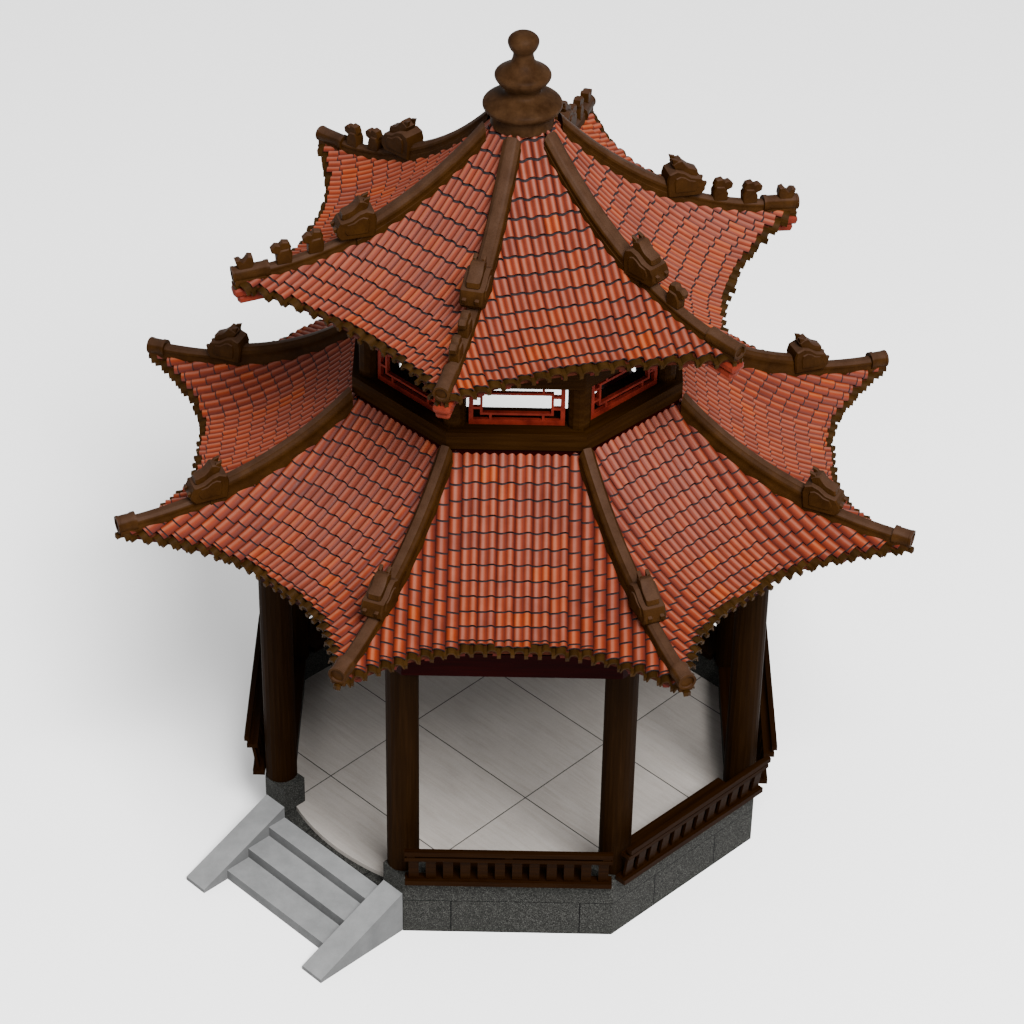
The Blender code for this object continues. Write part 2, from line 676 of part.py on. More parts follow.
def build_upper_roof(group):
    plates = deck_plates("plates", UPPER_ROOF, UPPER_PLATE, UPPER_PLATE_HALF, HEAD_TOP + GAP)
    mesh = fuse("upper_roof", [roof_deck("deck", UPPER_ROOF), plates, corner_noses(UPPER_ROOF)],
                flatten=False)
    place("upper_roof", mesh, "roof_tile", group)


def hip_point(roof, down):
    """Distance from the axis and height of the deck's top along a hip, facet by facet."""
    row = min(int(down * roof["rows"] + FACET_SLACK), roof["rows"] - 1)
    share = down * roof["rows"] - row
    ends = []
    for number in (row, row + 1):
        lateral, out, height = roof_point(roof, 1.0, number / roof["rows"])
        ends.append(Vector((math.hypot(lateral, out), height)))
    return tuple(ends[0].lerp(ends[1], share))


def deck_tree(roof):
    """The deck's surface, for finding its height beside a hip."""
    mesh = roof_deck("probe", roof)
    tree = BVHTree.FromPolygons([vert.co for vert in mesh.vertices],
                                [tuple(face.vertices) for face in mesh.polygons])
    bpy.data.meshes.remove(mesh)
    return tree


def height_beside(tree, roof, radius, lateral):
    """Height of the deck's top beside the first hip, or None past the eave."""
    turn = Matrix.Rotation(roof["turn"] + math.pi / roof["sides"], 4, "Z")
    hit = tree.ray_cast(turn @ Vector((radius, lateral, roof["top"] + 1.0)), Vector((0.0, 0.0, -1.0)))
    return hit[0].z if hit[0] else None


def ridge_section(tree, roof, ridge, down):
    """Seven corners of the ridge's section at a place along the hip."""
    radius, height = hip_point(roof, down)
    thick = down < ridge["block"]
    half = (ridge["width"] if thick else ridge["thin_width"]) / 2.0
    tall = ridge["height"] if thick else ridge["thin_height"]
    beside = height_beside(tree, roof, radius, half)
    fall = TIP_FALL if beside is None else height - beside
    edge = height - SKIRT_SHARE * fall
    top = height + tall
    shoulder = top - SHOULDER_SHARE * half
    flat = TOP_SHARE * half
    return [(radius, 0.0, height + GAP), (radius, half, edge), (radius, half, shoulder),
            (radius, flat, top), (radius, -flat, top), (radius, -half, shoulder),
            (radius, -half, edge)]


def hip_place(roof, radius):
    """How far down the hip a distance from the axis lies."""
    low, high = 0.0, 1.0
    for _ in range(HALVINGS):
        middle = (low + high) / 2.0
        low, high = (middle, high) if hip_point(roof, middle)[0] < radius else (low, middle)
    return (low + high) / 2.0


def hip_slope(roof, down):
    """Angle by which the hip falls at a place, for a turn about Y."""
    near, far = hip_point(roof, down - SLOPE_REACH), hip_point(roof, min(down + SLOPE_REACH, 1.0))
    return math.atan2(near[1] - far[1], far[0] - near[0])


def ornament(name, outline, half, radius, height):
    """A side outline widened across the ridge, at a distance from the axis and a height."""
    mesh = outline_mesh(name, [outline], -half, half)
    mesh.transform(Matrix.Translation((radius, 0.0, height)) @ Matrix.Rotation(math.pi / 2.0, 4, "X"))
    return mesh


def end_tube(roof, ridge):
    """Round tube over the ridge's end, along the hip."""
    radius, height = hip_point(roof, 1.0)
    middle = radius - ridge["tube"] / 2.0
    down = hip_place(roof, middle)
    seat = Matrix.Translation((middle, 0.0, hip_point(roof, down)[1] + ridge["tube_radius"] + TUBE_LIFT))
    lie = seat @ Matrix.Rotation(hip_slope(roof, down) + math.pi / 2.0, 4, "Y")
    bm = bmesh.new()
    bmesh.ops.create_cone(bm, cap_ends=True, segments=TUBE_SIDES, radius1=ridge["tube_radius"],
                          radius2=ridge["tube_radius"], depth=ridge["tube"], matrix=lie)
    return mesh_from(bm, "end_tube")


def ridge_loft(name, roof, ridge):
    """The ridge's run along the hip, thick as far as the block and thin after it, along +X."""
    rows = roof["rows"]
    tree = deck_tree(roof)
    stations = [ridge["start"]]
    stations += [k / rows for k in range(1, rows) if k / rows > ridge["start"] + STATION_MARGIN]
    stations += [RIDGE_END]
    near, far = ridge["block"] - BLOCK_STEP, ridge["block"] + BLOCK_STEP
    before = [down for down in stations if down < near]
    after = [down for down in stations if down > far]
    bm = bmesh.new()
    loops = [ridge_section(tree, roof, ridge, down) for down in before + [near, far] + after]
    rings = [[bm.verts.new(point) for point in loop] for loop in loops]
    for first, second in zip(rings, rings[1:]):
        for k in range(len(first)):
            j = (k + 1) % len(first)
            bm.faces.new((first[k], first[j], second[j], second[k]))
    bm.faces.new(rings[0])
    bm.faces.new(list(reversed(rings[-1])))
    return mesh_from(bm, name)


def ridge_mesh(name, roof, ridge, second_figure=True, tip_figure=False):
    """A whole hip ridge along +X: its run, block, end tube and figures."""
    radius, height = hip_point(roof, ridge["block"])
    pieces = [ridge_loft(name + "_loft", roof, ridge),
              ornament(name + "_block", BLOCK_OUTLINE, BLOCK_HALF, radius, height),
              ornament(name + "_head", HEAD_OUTLINE, HEAD_HALF, radius, height),
              end_tube(roof, ridge)]
    for number, down in enumerate(ridge["figures"]):
        if number == 0 or second_figure:
            radius, height = hip_point(roof, down)
            pieces.append(ornament(name + "_figure", FIGURE_OUTLINE, FIGURE_HALF, radius,
                                   height + ridge["thin_height"]))
    if tip_figure:
        radius, height = hip_point(roof, RIDGE_END)
        pieces.append(ornament(name + "_tip", TIP_OUTLINE, TIP_HALF, radius - TIP_INSET, height))
    return fuse(name, pieces)


def build_ridges(group):
    mesh = ridge_mesh("lower_ridge", LOWER_ROOF, LOWER_RIDGE)
    for number in range(LOWER_ROOF["sides"]):
        angle = LOWER_ROOF["turn"] + (number + 0.5) * 2.0 * math.pi / LOWER_ROOF["sides"]
        place("lower_ridge_%d" % (number + 1), mesh, "ridge_tile", group, angle)
    for number in range(1, UPPER_ROOF["sides"] + 1):
        name = "upper_ridge_%d" % number
        mesh = ridge_mesh(name, UPPER_ROOF, UPPER_RIDGE, number in WITH_SECOND_FIGURE,
                          number in WITH_TIP_FIGURE)
        angle = UPPER_ROOF["turn"] + (number - 0.5) * 2.0 * math.pi / UPPER_ROOF["sides"]
        place(name, mesh, "ridge_tile", group, angle)


def build_drum_frame(group):
    sill = ring_mesh("sill", SILL_INNER, SILL_OUTER, SILL_BOTTOM, SILL_TOP)
    head = ring_mesh("head", HEAD_INNER, HEAD_OUTER, HEAD_BOTTOM, HEAD_TOP)
    posts = bmesh.new()
    for corner in range(SIDES):
        angle = corner_angle(corner)
        centre = (DRUM_POST_RING * math.cos(angle), DRUM_POST_RING * math.sin(angle))
        add_cylinder(posts, DRUM_POST_RADIUS, SILL_TOP - DRUM_POST_BITE, HEAD_BOTTOM + DRUM_POST_BITE,
                     DRUM_POST_SIDES, centre)
    mesh = fuse("drum_frame", [sill, mesh_from(posts, "posts"), head])
    place("drum_frame", mesh, "dark_wood", group)


def lattice_bars():
    """The inner rectangle of a window and its ties: level bars and upright bars."""
    low, high = SILL_TOP + GAP, HEAD_BOTTOM - GAP
    near, far = -WINDOW_APOTHEM - WINDOW_THICKNESS / 2.0, -WINDOW_APOTHEM + WINDOW_THICKNESS / 2.0
    half = BAR / 2.0
    level, upright = bmesh.new(), bmesh.new()
    for middle in (INNER_LOW, INNER_HIGH):
        add_box(level, (-INNER_HALF - half, near, middle - half), (INNER_HALF + half, far, middle + half))
    for side in (-1.0, 1.0):
        left, right = sorted((side * INNER_HALF, side * (WINDOW_HALF - WINDOW_STILE / 2.0)))
        for middle in TIE_HEIGHTS:
            add_box(level, (left, near, middle - half), (right, far, middle + half))
        middle = side * INNER_HALF
        add_box(upright, (middle - half, near, INNER_LOW), (middle + half, far, INNER_HIGH))
        middle = side * TIE_PLACE
        for bottom, top in ((low + WINDOW_RAIL / 2.0, INNER_LOW), (INNER_HIGH, high - WINDOW_RAIL / 2.0)):
            add_box(upright, (middle - half, near, bottom), (middle + half, far, top))
    return [mesh_from(level, "level_bars"), mesh_from(upright, "upright_bars")]


def build_windows(group):
    """Red lattice windows: a frame, an inner rectangle and the short bars between them."""
    low, high = SILL_TOP + GAP, HEAD_BOTTOM - GAP
    inside = WINDOW_HALF - WINDOW_STILE
    frame = outline_mesh("frame", [
        [(-WINDOW_HALF, low), (WINDOW_HALF, low), (WINDOW_HALF, high), (-WINDOW_HALF, high)],
        [(-inside, low + WINDOW_RAIL), (inside, low + WINDOW_RAIL),
         (inside, high - WINDOW_RAIL), (-inside, high - WINDOW_RAIL)],
    ], -WINDOW_THICKNESS / 2.0, WINDOW_THICKNESS / 2.0)
    frame.transform(Matrix.Translation((0.0, -WINDOW_APOTHEM, 0.0)) @ Matrix.Rotation(math.pi / 2.0, 4, "X"))
    mesh = fuse("drum_window", [frame] + lattice_bars())
    for face in range(SIDES):
        place("drum_window_%d" % (face + 1), mesh, "red_paint", group, face_turn(face))


def build_finial(group):
    """Turned gourd-shaped finial over the hub of the upper roof."""
    mesh = bpy.data.meshes.new("finial")
    points = [(0.0, 0.0, FINIAL_TOP)]
    points += [(radius, 0.0, height) for radius, height in reversed(FINIAL_PROFILE)]
    points += [(0.0, 0.0, FINIAL_FOOT)]
    mesh.from_pydata(points, [(k, k + 1) for k in range(len(points) - 1)], [])
    finial = place("finial", mesh, "ridge_tile", group)
    turned = finial.modifiers.new("turned", "SCREW")
    turned.steps = FINIAL_STEPS
    turned.render_steps = FINIAL_STEPS
    turned.use_merge_vertices = True
    turned.merge_threshold = 0.0001
    turned.use_smooth_shade = True


def main():
    clear_scene()
    group = make_collection(COLLECTION)
    build_podium(group)
    build_paving(group)
    build_stair(group)
    build_columns(group)
    build_benches(group)
    build_eave_frame(group)
    build_lower_roof(group)
    build_ridges(group)
    build_drum_frame(group)
    build_windows(group)
    build_upper_roof(group)
    build_finial(group)


main()
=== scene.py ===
"""Octagonal pavilion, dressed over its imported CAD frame."""

import math
import random

import bmesh
import bpy
import numpy as np
from mathutils import Matrix, Vector


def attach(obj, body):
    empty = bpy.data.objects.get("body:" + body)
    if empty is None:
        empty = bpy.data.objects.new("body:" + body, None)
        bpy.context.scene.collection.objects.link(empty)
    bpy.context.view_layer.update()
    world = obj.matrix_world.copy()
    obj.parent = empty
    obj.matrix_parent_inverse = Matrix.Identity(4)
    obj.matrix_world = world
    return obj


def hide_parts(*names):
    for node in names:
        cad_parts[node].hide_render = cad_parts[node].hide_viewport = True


# Camera fitted to the photograph: focal length and picture in pixels, angles in radians
FOCAL_PIXELS = 3182.0
PHOTO_PIXELS = 1024.0
SENSOR_WIDTH = 36.0
CAMERA_PLACE = (-0.0207, -26.1157, 22.4245)
CAMERA_PITCH = math.radians(36.04)
CAMERA_YAW = math.radians(-0.02)
CAMERA_ROLL = 0.0178
VIEW_DEPTH = 200.0

# Studio light: an even surround and one large soft lamp
WORLD_STRENGTH = 1.1
KEY_ENERGY = 102000.0
KEY_SIZE = 22.0
KEY_PLACE = (12.0, -31.0, 44.0)
KEY_AIM = (0.0, 0.0, 4.0)

# Studio floor: half its side, its height just under the podium, colour and roughness
FLOOR_HALF = 60.0
FLOOR_HEIGHT = -0.002
FLOOR_COLOUR = (0.92, 0.92, 0.92, 1.0)
FLOOR_ROUGHNESS = 0.9

# Roofs. As in the CAD: sides, direction of the first face, inner and mid-eave distance from the axis,
# extra reach of the corners, height at the inner edge, fall, hollow of the slope and corner rise. Then
# how far the drips and the caps of the border reach past the eave, the length that a tile shows, how
# far the painted shade band at its head shows, the distance of the first course line from the eave,
# and the seed of random draws
LOWER_ROOF = {"sides": 8, "turn": -math.pi / 2.0, "inner": 1.45, "outer": 3.15, "flare": 0.66,
              "top": 5.29, "fall": 1.15, "hollow": 0.66, "rise": 0.10, "drip": 0.064, "cap": 0.042,
              "pitch": 0.1616, "joint_and_shade": 0.012, "first": 0.079, "seed": 11}
UPPER_ROOF = {"sides": 6, "turn": math.radians(-74.0), "inner": 0.22, "outer": 2.05, "flare": 0.37,
              "top": 7.92, "fall": 1.46, "hollow": 0.70, "rise": 0.13, "drip": 0.062, "cap": 0.040,
              "pitch": 0.182, "joint_and_shade": 0.016, "first": 0.150, "seed": 23}
# Share of a face's half width where its corner starts to bend out and up, and the power of the bend
FLARE_START = 0.22
FLARE_POWER = 1.7

# Finding places on a deck: range and halvings of a search, step for the slope, samples along a hip
# and along a column of tiles
SEARCH_RANGE = (-0.05, 1.25)
SEARCH_HALVINGS = 26
SLOPE_STEP = 0.02
HIP_RANGE = (-0.05, 1.2)
HIP_SAMPLES = 200
HIP_STEP = 0.05
COLUMN_SAMPLES = 160

# Furthest that tiles and border may reach from the axis across a face
REACH_LIMIT = 3.838

# Tile columns: double rolls on the whole upper roof and the middle of the lower one, single rolls beside
UPPER_WIDE = 0.150
LOWER_WIDE = 0.168
LOWER_WIDE_COUNT = 6
LOWER_NARROW = 0.1185

# Tiles: lift over the deck, added lift of the lower end, height of the lip under it, place of the bend
# along a tile, share of its rounded end that the last tile keeps, clearance from hip and inner edge,
# reach past the inner edge, and the run of a metre of slope there
TILE_BASE = 0.014
TILE_LIP = 0.013
LIP_DROP = 0.004
TILE_BEND = 0.6
EAVE_BITE = 0.4
TILE_MARGIN = 0.01
INNER_REACH = 0.05
INNER_RUN = 0.66

# Chance in the tiles: shift of a column, lift of a lower end, shift of a joint, retreat of the last
# tile; and their tone: that of the top row, what the eave adds, and the spread
COLUMN_SETTLE = (-0.005, 0.007)
TILE_LEAN = 0.0015
JOINT_SHIFT = 0.003
END_RETREAT = 0.045
TONE_TOP = 0.36
TONE_GAIN = 0.26
TONE_SPREAD = 0.17

# Profile across a tile: share of the width, height, shift of the lower end, and the painted light:
# 1 for the painted highlight on a crest, 0 for painted shade in a valley
ROLL = ((0.00, 0.004, 0.0, 0.00), (0.05, 0.013, 0.003, 0.05), (0.15, 0.025, 0.007, 0.20),
        (0.28, 0.032, 0.010, 0.46), (0.42, 0.035, 0.011, 1.00), (0.56, 0.034, 0.011, 0.84),
        (0.72, 0.029, 0.009, 0.30), (0.86, 0.020, 0.006, 0.10), (0.95, 0.012, 0.002, 0.02),
        (1.00, 0.004, 0.0, 0.00))
DOUBLE = ((0.00, 0.007, 0.000, 0.00), (0.04, 0.015, 0.002, 0.08), (0.10, 0.022, 0.004, 0.36),
          (0.17, 0.029, 0.007, 0.90), (0.25, 0.032, 0.008, 1.00), (0.34, 0.029, 0.006, 0.72),
          (0.43, 0.021, 0.003, 0.26), (0.52, 0.014, -0.002, 0.08), (0.60, 0.019, -0.004, 0.30),
          (0.68, 0.026, -0.005, 0.84), (0.77, 0.030, -0.005, 1.00), (0.86, 0.027, -0.005, 0.66),
          (0.94, 0.017, -0.002, 0.14), (1.00, 0.007, 0.000, 0.00))

# Tile colour with painted light, from painted shade in its valleys to a painted highlight on its
# crests, and the tones that single tiles take
PAINTED_CREST_LIGHT = ((0.0, (0.043, 0.0075, 0.0052)), (0.3, (0.085, 0.0125, 0.0045)),
         (0.62, (0.108, 0.0212, 0.0093)), (1.0, (0.134, 0.0440, 0.0280)))
TILE_TONES = ((0.0, (0.72, 0.76, 0.90)), (0.4, (0.90, 0.94, 1.05)),
              (0.7, (1.06, 1.01, 0.93)), (1.0, (1.26, 1.05, 0.60)))

# Drips of the eave border: half width, half height, drop of the middle, start inside the eave, chance,
# and the corners of their section
DRIP_HALF = 0.018
DRIP_HALF_TALL = 0.0216
DRIP_DROP = 0.022
DRIP_START = 0.10
DRIP_SPREAD = (-0.014, 0.010)
DRIP_CORNERS = ((1, 1), (-1, 1), (-1, -1), (1, -1))

# Caps between the drips: how many under the lower roof's double rolls, height, foot, wall, gap to the
# drip's middle, start inside the eave, depth of the hollow end, chance, boxiness, points across
MIDDLE_CAPS = 8
CAP_TOP = 0.034
CAP_FOOT = -0.024
CAP_WALL = 0.016
CAP_GAP = 0.004
CAP_START = 0.08
CAP_HOLLOW = 0.05
CAP_SPREAD = 0.018
CAP_POWER = 3.2
CAP_POINTS = 9

# Boards and rafters under the tiles
BOARD_DEPTH = 0.045
BOARD_ROWS = 14
BOARD_COLUMNS = 16
RAFTER_DEPTH = 0.10
RAFTER_HALF = 0.028
RAFTER_SINK = 0.005
RAFTER_COUNT = 10
RAFTER_SHARE = 0.9
RAFTER_SPAN = (0.04, 0.985)
RAFTER_POINTS = 8

# Timber under the decks, as in the CAD. Plates: inner and outer distance, half length, foot. Curb ring:
# inner and outer distance, top. Corner beams: inner and outer distance, drop from the hip, and top,
# bottom and half width of both levels, the lower one shorter
LOWER_PLATE = (2.31, 2.43, 0.60, 4.2403)
UPPER_PLATE = (1.25, 1.37, 0.45, 6.1303)
PLATE_DROP = 0.0405
PLATE_BEVEL = 0.008
LOWER_CURB = (1.30, 1.56, 5.2997)
CURB_DROP = 0.18
NOSE_SPAN = (2.27, 2.81)
NOSE_DROP = 0.045
NOSE_LEVELS = ((0.0, 0.085, 0.080), (0.086, 0.168, 0.066))
NOSE_STEP_BACK = 0.4
NOSE_BEVEL = 0.020

# Hip ridges: half width and height of the thick and the thin part, start and place of the block on the
# way down, length and radius of the tube at the end, places of the small figures on the way down, and
# the ridges with a second figure or one at the tip
LOWER_RIDGE = {"half": 0.078, "tall": 0.222, "thin_half": 0.066, "thin_tall": 0.140, "start": 0.09,
               "block": 0.70, "tube": 0.17, "tube_radius": 0.084, "figures": (), "second": (), "tip": ()}
UPPER_RIDGE = {"half": 0.088, "tall": 0.170, "thin_half": 0.060, "thin_tall": 0.120, "start": 0.055,
               "block": 0.575, "tube": 0.34, "tube_radius": 0.075, "figures": (0.72, 0.83),
               "second": (2, 3, 4, 5, 6), "tip": (2, 3, 5)}
RIDGE_END = 0.995
THICK_STEPS = 26
THIN_STEPS = 14
RIDGE_SHARP = 35.0
# Half section of a ridge: share of its half width and of its height
RIDGE_SECTION = ((1.00, -0.16), (1.00, 0.34), (0.95, 0.38), (0.95, 0.62), (0.98, 0.66), (0.94, 0.76),
                 (0.80, 0.84), (0.62, 0.92), (0.50, 0.99), (0.24, 1.01))
# Tube at a ridge's end: lift, sides, and its profile as end (-1 inner, 1 outer), place from that end
# and what is added to the radius
TUBE_LIFT = 0.012
TUBE_SIDES = 24
TUBE_PROFILE = ((-1, -0.020, -0.010), (-1, -0.020, 0.007), (-1, 0.020, 0.007), (-1, 0.030, 0.0),
                (1, -0.030, 0.0), (1, -0.025, 0.0042), (1, 0.0, 0.0042), (1, 0.0, -0.018),
                (1, -0.030, -0.022))

# Ornaments: half thickness, bevel, how far to each side a pair stands, and a side outline as distance
# outwards and height over the deck or the ridge's top. The relief has the block's outline, drawn in to a
# share of its size about a middle
BLOCK = {"half": 0.110, "bevel": 0.014, "outline":
         ((-0.17, 0.10), (0.16, 0.09), (0.20, 0.14), (0.20, 0.20), (0.16, 0.27), (0.06, 0.30),
          (-0.03, 0.36), (-0.10, 0.38), (-0.17, 0.35), (-0.19, 0.28))}
RELIEF = {"half": 0.121, "bevel": 0.010, "middle": (0.0, 0.23), "share": 0.62}
HEAD = {"half": 0.065, "bevel": 0.014, "outline":
        ((-0.09, 0.33), (0.04, 0.27), (0.10, 0.25), (0.14, 0.29), (0.13, 0.34), (0.05, 0.38),
         (0.00, 0.42), (-0.04, 0.47), (-0.09, 0.46), (-0.13, 0.43))}
HORN = {"half": 0.018, "bevel": 0.006, "side": 0.042, "outline":
        ((-0.12, 0.42), (-0.06, 0.44), (-0.08, 0.475), (-0.14, 0.495), (-0.13, 0.46))}
FANG = {"half": 0.020, "bevel": 0.006, "side": 0.060, "outline":
        ((0.16, 0.17), (0.215, 0.165), (0.225, 0.205), (0.17, 0.22))}
FIGURE = {"half": 0.052, "bevel": 0.012, "outline":
          ((-0.075, -0.02), (0.070, -0.02), (0.075, 0.05), (0.060, 0.09), (0.030, 0.13),
           (-0.050, 0.14), (-0.080, 0.09))}
FIGURE_HEAD = {"half": 0.038, "bevel": 0.012, "outline":
               ((-0.060, 0.09), (0.050, 0.075), (0.115, 0.10), (0.125, 0.145), (0.085, 0.185),
                (0.040, 0.18), (0.010, 0.215), (-0.050, 0.205), (-0.075, 0.15))}
TIP = {"half": 0.045, "bevel": 0.010, "inset": 0.10, "outline":
       ((-0.06, 0.10), (0.03, 0.10), (0.07, 0.17), (0.09, 0.24), (0.05, 0.25), (0.02, 0.215),
        (-0.01, 0.24), (-0.04, 0.28), (-0.08, 0.27), (-0.09, 0.20))}

# Turned finial: radius and height of its profile, points between two of them, sides
FINIAL_TOP = 8.8455
FINIAL_PROFILE = ((0.300, 7.9203), (0.300, 8.045), (0.352, 8.075), (0.375, 8.115), (0.360, 8.150),
                  (0.290, 8.190), (0.200, 8.225), (0.172, 8.255), (0.185, 8.300), (0.240, 8.360),
                  (0.266, 8.410), (0.250, 8.450), (0.185, 8.490), (0.125, 8.540), (0.100, 8.600),
                  (0.098, 8.650), (0.125, 8.690), (0.146, 8.745), (0.140, 8.790), (0.100, 8.830),
                  (0.050, 8.844), (0.0005, FINIAL_TOP))
FINIAL_STEPS = 4
FINIAL_SIDES = 56
FINIAL_SHARP = 60.0

# Granite joints. Bed joint: height, half thickness, distance from the axis where it starts. Upright
# joints: half width, and place along an even face with its change on an odd one
BED_HEIGHT = 0.42
BED_HALF = 0.004
BED_START = 2.45
UPRIGHT_HALF = 0.006
UPRIGHT_JOINTS = ((-0.573, 0.143), (0.724, -0.256))

# Paving joints: half width, direction of the second set, and first place and spacing of both sets
GROUT_HALF = 0.006
PAVING_TURN = math.radians(-42.9)
PAVING_SETS = ((-0.555, 1.245), (-0.937, 1.703))

# Material slots: tiles and their painted lip shade, then caps, ridges and tubes and the painted shade
# in their hollows, then the timber under the roofs
TILE_SLOT, LIP_SHADE_SLOT = range(2)
WARE_SLOT, HOLLOW_SHADE_SLOT = range(2)
BOARD_SLOT, RAFTER_SLOT, PLATE_SLOT, NOSE_SLOT = range(4)

# Materials of the CAD nodes, by the starts of their names
NODE_LOOKS = {"granite": ("podium", "curb_wall", "stair_pedestal"), "paving": ("floor_paving",),
              "concrete": ("stair_steps", "stair_cheek"), "column": ("column",), "bench": ("bench",),
              "lintel": ("lintel_frame", "eave_beam"), "drum": ("drum_frame",),
              "lattice": ("drum_window",), "soffit": ("lower_roof", "upper_roof"),
              "brown": ("lower_ridge", "upper_ridge", "finial")}

# Meshes: tone and painted crest light of what isn't a tile, reach of the weld, sharp edges in degrees
MIDDLE_TONE = 0.5
WELD_DISTANCE = 0.00001
SHARP_ANGLE = 40.0


def add_object(name, data):
    """A new object, linked to the scene."""
    made = bpy.data.objects.new(name, data)
    bpy.context.scene.collection.objects.link(made)
    return made


def camera_turn():
    """The camera's turn, from its pitch, yaw and roll."""
    cos_pitch, sin_pitch = math.cos(CAMERA_PITCH), math.sin(CAMERA_PITCH)
    forward = Vector((math.sin(CAMERA_YAW) * cos_pitch, math.cos(CAMERA_YAW) * cos_pitch, -sin_pitch))
    right = Vector((math.cos(CAMERA_YAW), -math.sin(CAMERA_YAW), 0.0))
    up = right.cross(forward)
    cos_roll, sin_roll = math.cos(CAMERA_ROLL), math.sin(CAMERA_ROLL)
    tilted_right = right * cos_roll + up * sin_roll
    tilted_up = up * cos_roll - right * sin_roll
    return Matrix((tilted_right, tilted_up, -forward)).transposed().to_4x4()


def make_camera():
    data = bpy.data.cameras.new("camera")
    data.sensor_width = SENSOR_WIDTH
    data.lens = SENSOR_WIDTH * FOCAL_PIXELS / PHOTO_PIXELS
    data.clip_end = VIEW_DEPTH
    camera = add_object("camera", data)
    camera.matrix_world = Matrix.Translation(CAMERA_PLACE) @ camera_turn()
    bpy.context.scene.camera = camera


def make_lights():
    world = bpy.data.worlds.new("studio")
    world.use_nodes = True
    surround = world.node_tree.nodes["Background"].inputs
    surround["Color"].default_value = (1.0, 1.0, 1.0, 1.0)
    surround["Strength"].default_value = WORLD_STRENGTH
    bpy.context.scene.world = world
    light = bpy.data.lights.new("key", "AREA")
    light.energy = KEY_ENERGY
    light.size = KEY_SIZE
    lamp = add_object("key", light)
    lamp.location = KEY_PLACE
    lamp.rotation_euler = (Vector(KEY_AIM) - lamp.location).to_track_quat("-Z", "Y").to_euler()


class Look:
    """A Principled material put together from nodes over the object's own coordinates."""

    def __init__(self, name, roughness, specular):
        self.material = bpy.data.materials.new(name)
        self.material.use_nodes = True
        self.tree = self.material.node_tree
        self.shader = self.tree.nodes["Principled BSDF"]
        self.shader.inputs["Roughness"].default_value = roughness
        self.shader.inputs["Specular IOR Level"].default_value = specular
        coordinates = self.node("TexCoord")
        self.place, self.normal = coordinates.outputs["Object"], coordinates.outputs["Normal"]

    def feed(self, socket, value):
        """Link a socket to another, or set its value."""
        if isinstance(value, bpy.types.NodeSocket):
            self.tree.links.new(value, socket)
        elif isinstance(value, tuple) and len(value) == 3 and socket.type == "RGBA":
            socket.default_value = (*value, 1.0)
        else:
            socket.default_value = value

    def node(self, kind, *values):
        """A node of a kind, with its first inputs fed."""
        made = self.tree.nodes.new("ShaderNode" + kind)
        for socket, value in zip(made.inputs, values):
            self.feed(socket, value)
        return made

    def math(self, operation, first, second=0.0, third=0.0):
        node = self.node("Math", first, second, third)
        node.operation = operation
        return node.outputs[0]

    def stretch(self, vector, scale):
        node = self.node("VectorMath", vector, scale)
        node.operation = "MULTIPLY"
        return node.outputs[0]

    def split(self, vector):
        return tuple(self.node("SeparateXYZ", vector).outputs)

    def join(self, x, y, z):
        return self.node("CombineXYZ", x, y, z).outputs[0]

    def noise(self, vector, scale, detail=3.0, roughness=0.55, distortion=0.0):
        node = self.node("TexNoise", vector)
        node.inputs["Scale"].default_value = scale
        node.inputs["Detail"].default_value = detail
        node.inputs["Roughness"].default_value = roughness
        node.inputs["Distortion"].default_value = distortion
        return node.outputs["Fac"]

    def cells(self, vector, scale):
        node = self.node("TexVoronoi", vector)
        node.inputs["Scale"].default_value = scale
        return node.outputs["Color"]

    def attribute(self, name):
        node = self.node("Attribute")
        node.attribute_name = name
        return node.outputs["Fac"]

    def ramp(self, factor, *stops):
        """Colours, or greys given as numbers, at their places along a factor."""
        node = self.node("ValToRGB", factor)
        ramp = node.color_ramp
        while len(ramp.elements) < len(stops):
            ramp.elements.new(1.0)
        for element, (place, colour) in zip(ramp.elements, stops):
            element.position = place
            element.color = (*colour, 1.0) if isinstance(colour, tuple) else (colour, colour, colour, 1.0)
        return node.outputs[0]

    def mix(self, factor, first, second, blend="MIX"):
        """Two colours mixed; the numbers are the colour sockets of the node."""
        node = self.node("Mix", factor)
        node.data_type = "RGBA"
        node.blend_type = blend
        self.feed(node.inputs[6], first)
        self.feed(node.inputs[7], second)
        return node.outputs[2]

    def shade(self, colour, strength, factor, *stops):
        """The colour multiplied, by a share, with a ramp along a factor."""
        return self.mix(strength, colour, self.ramp(factor, *stops), "MULTIPLY")

    def face_frame(self):
        """Octagon coordinates: along the nearest face, outwards, height, and the face's number."""
        x, y, z = self.split(self.place)
        number = self.math("ROUND", self.math("DIVIDE", self.math("ARCTAN2", y, x), math.pi / 4.0))
        angle = self.math("MULTIPLY", number, math.pi / 4.0)
        cosine, sine = self.math("COSINE", angle), self.math("SINE", angle)
        along = self.math("SUBTRACT", self.math("MULTIPLY", y, cosine), self.math("MULTIPLY", x, sine))
        out = self.math("ADD", self.math("MULTIPLY", x, cosine), self.math("MULTIPLY", y, sine))
        return along, out, z, number

    def line(self, value, place, half):
        """1 within half of a place along a value, else 0."""
        return self.math("COMPARE", value, place, half)

    def finish(self, colour, height, distance, strength):
        """The material, with its colour and a bump whose distance is in metres."""
        self.feed(self.shader.inputs["Base Color"], colour)
        bump = self.node("Bump")
        bump.inputs["Strength"].default_value = strength
        bump.inputs["Distance"].default_value = distance
        self.feed(bump.inputs["Height"], height)
        self.feed(self.shader.inputs["Normal"], bump.outputs[0])
        return self.material


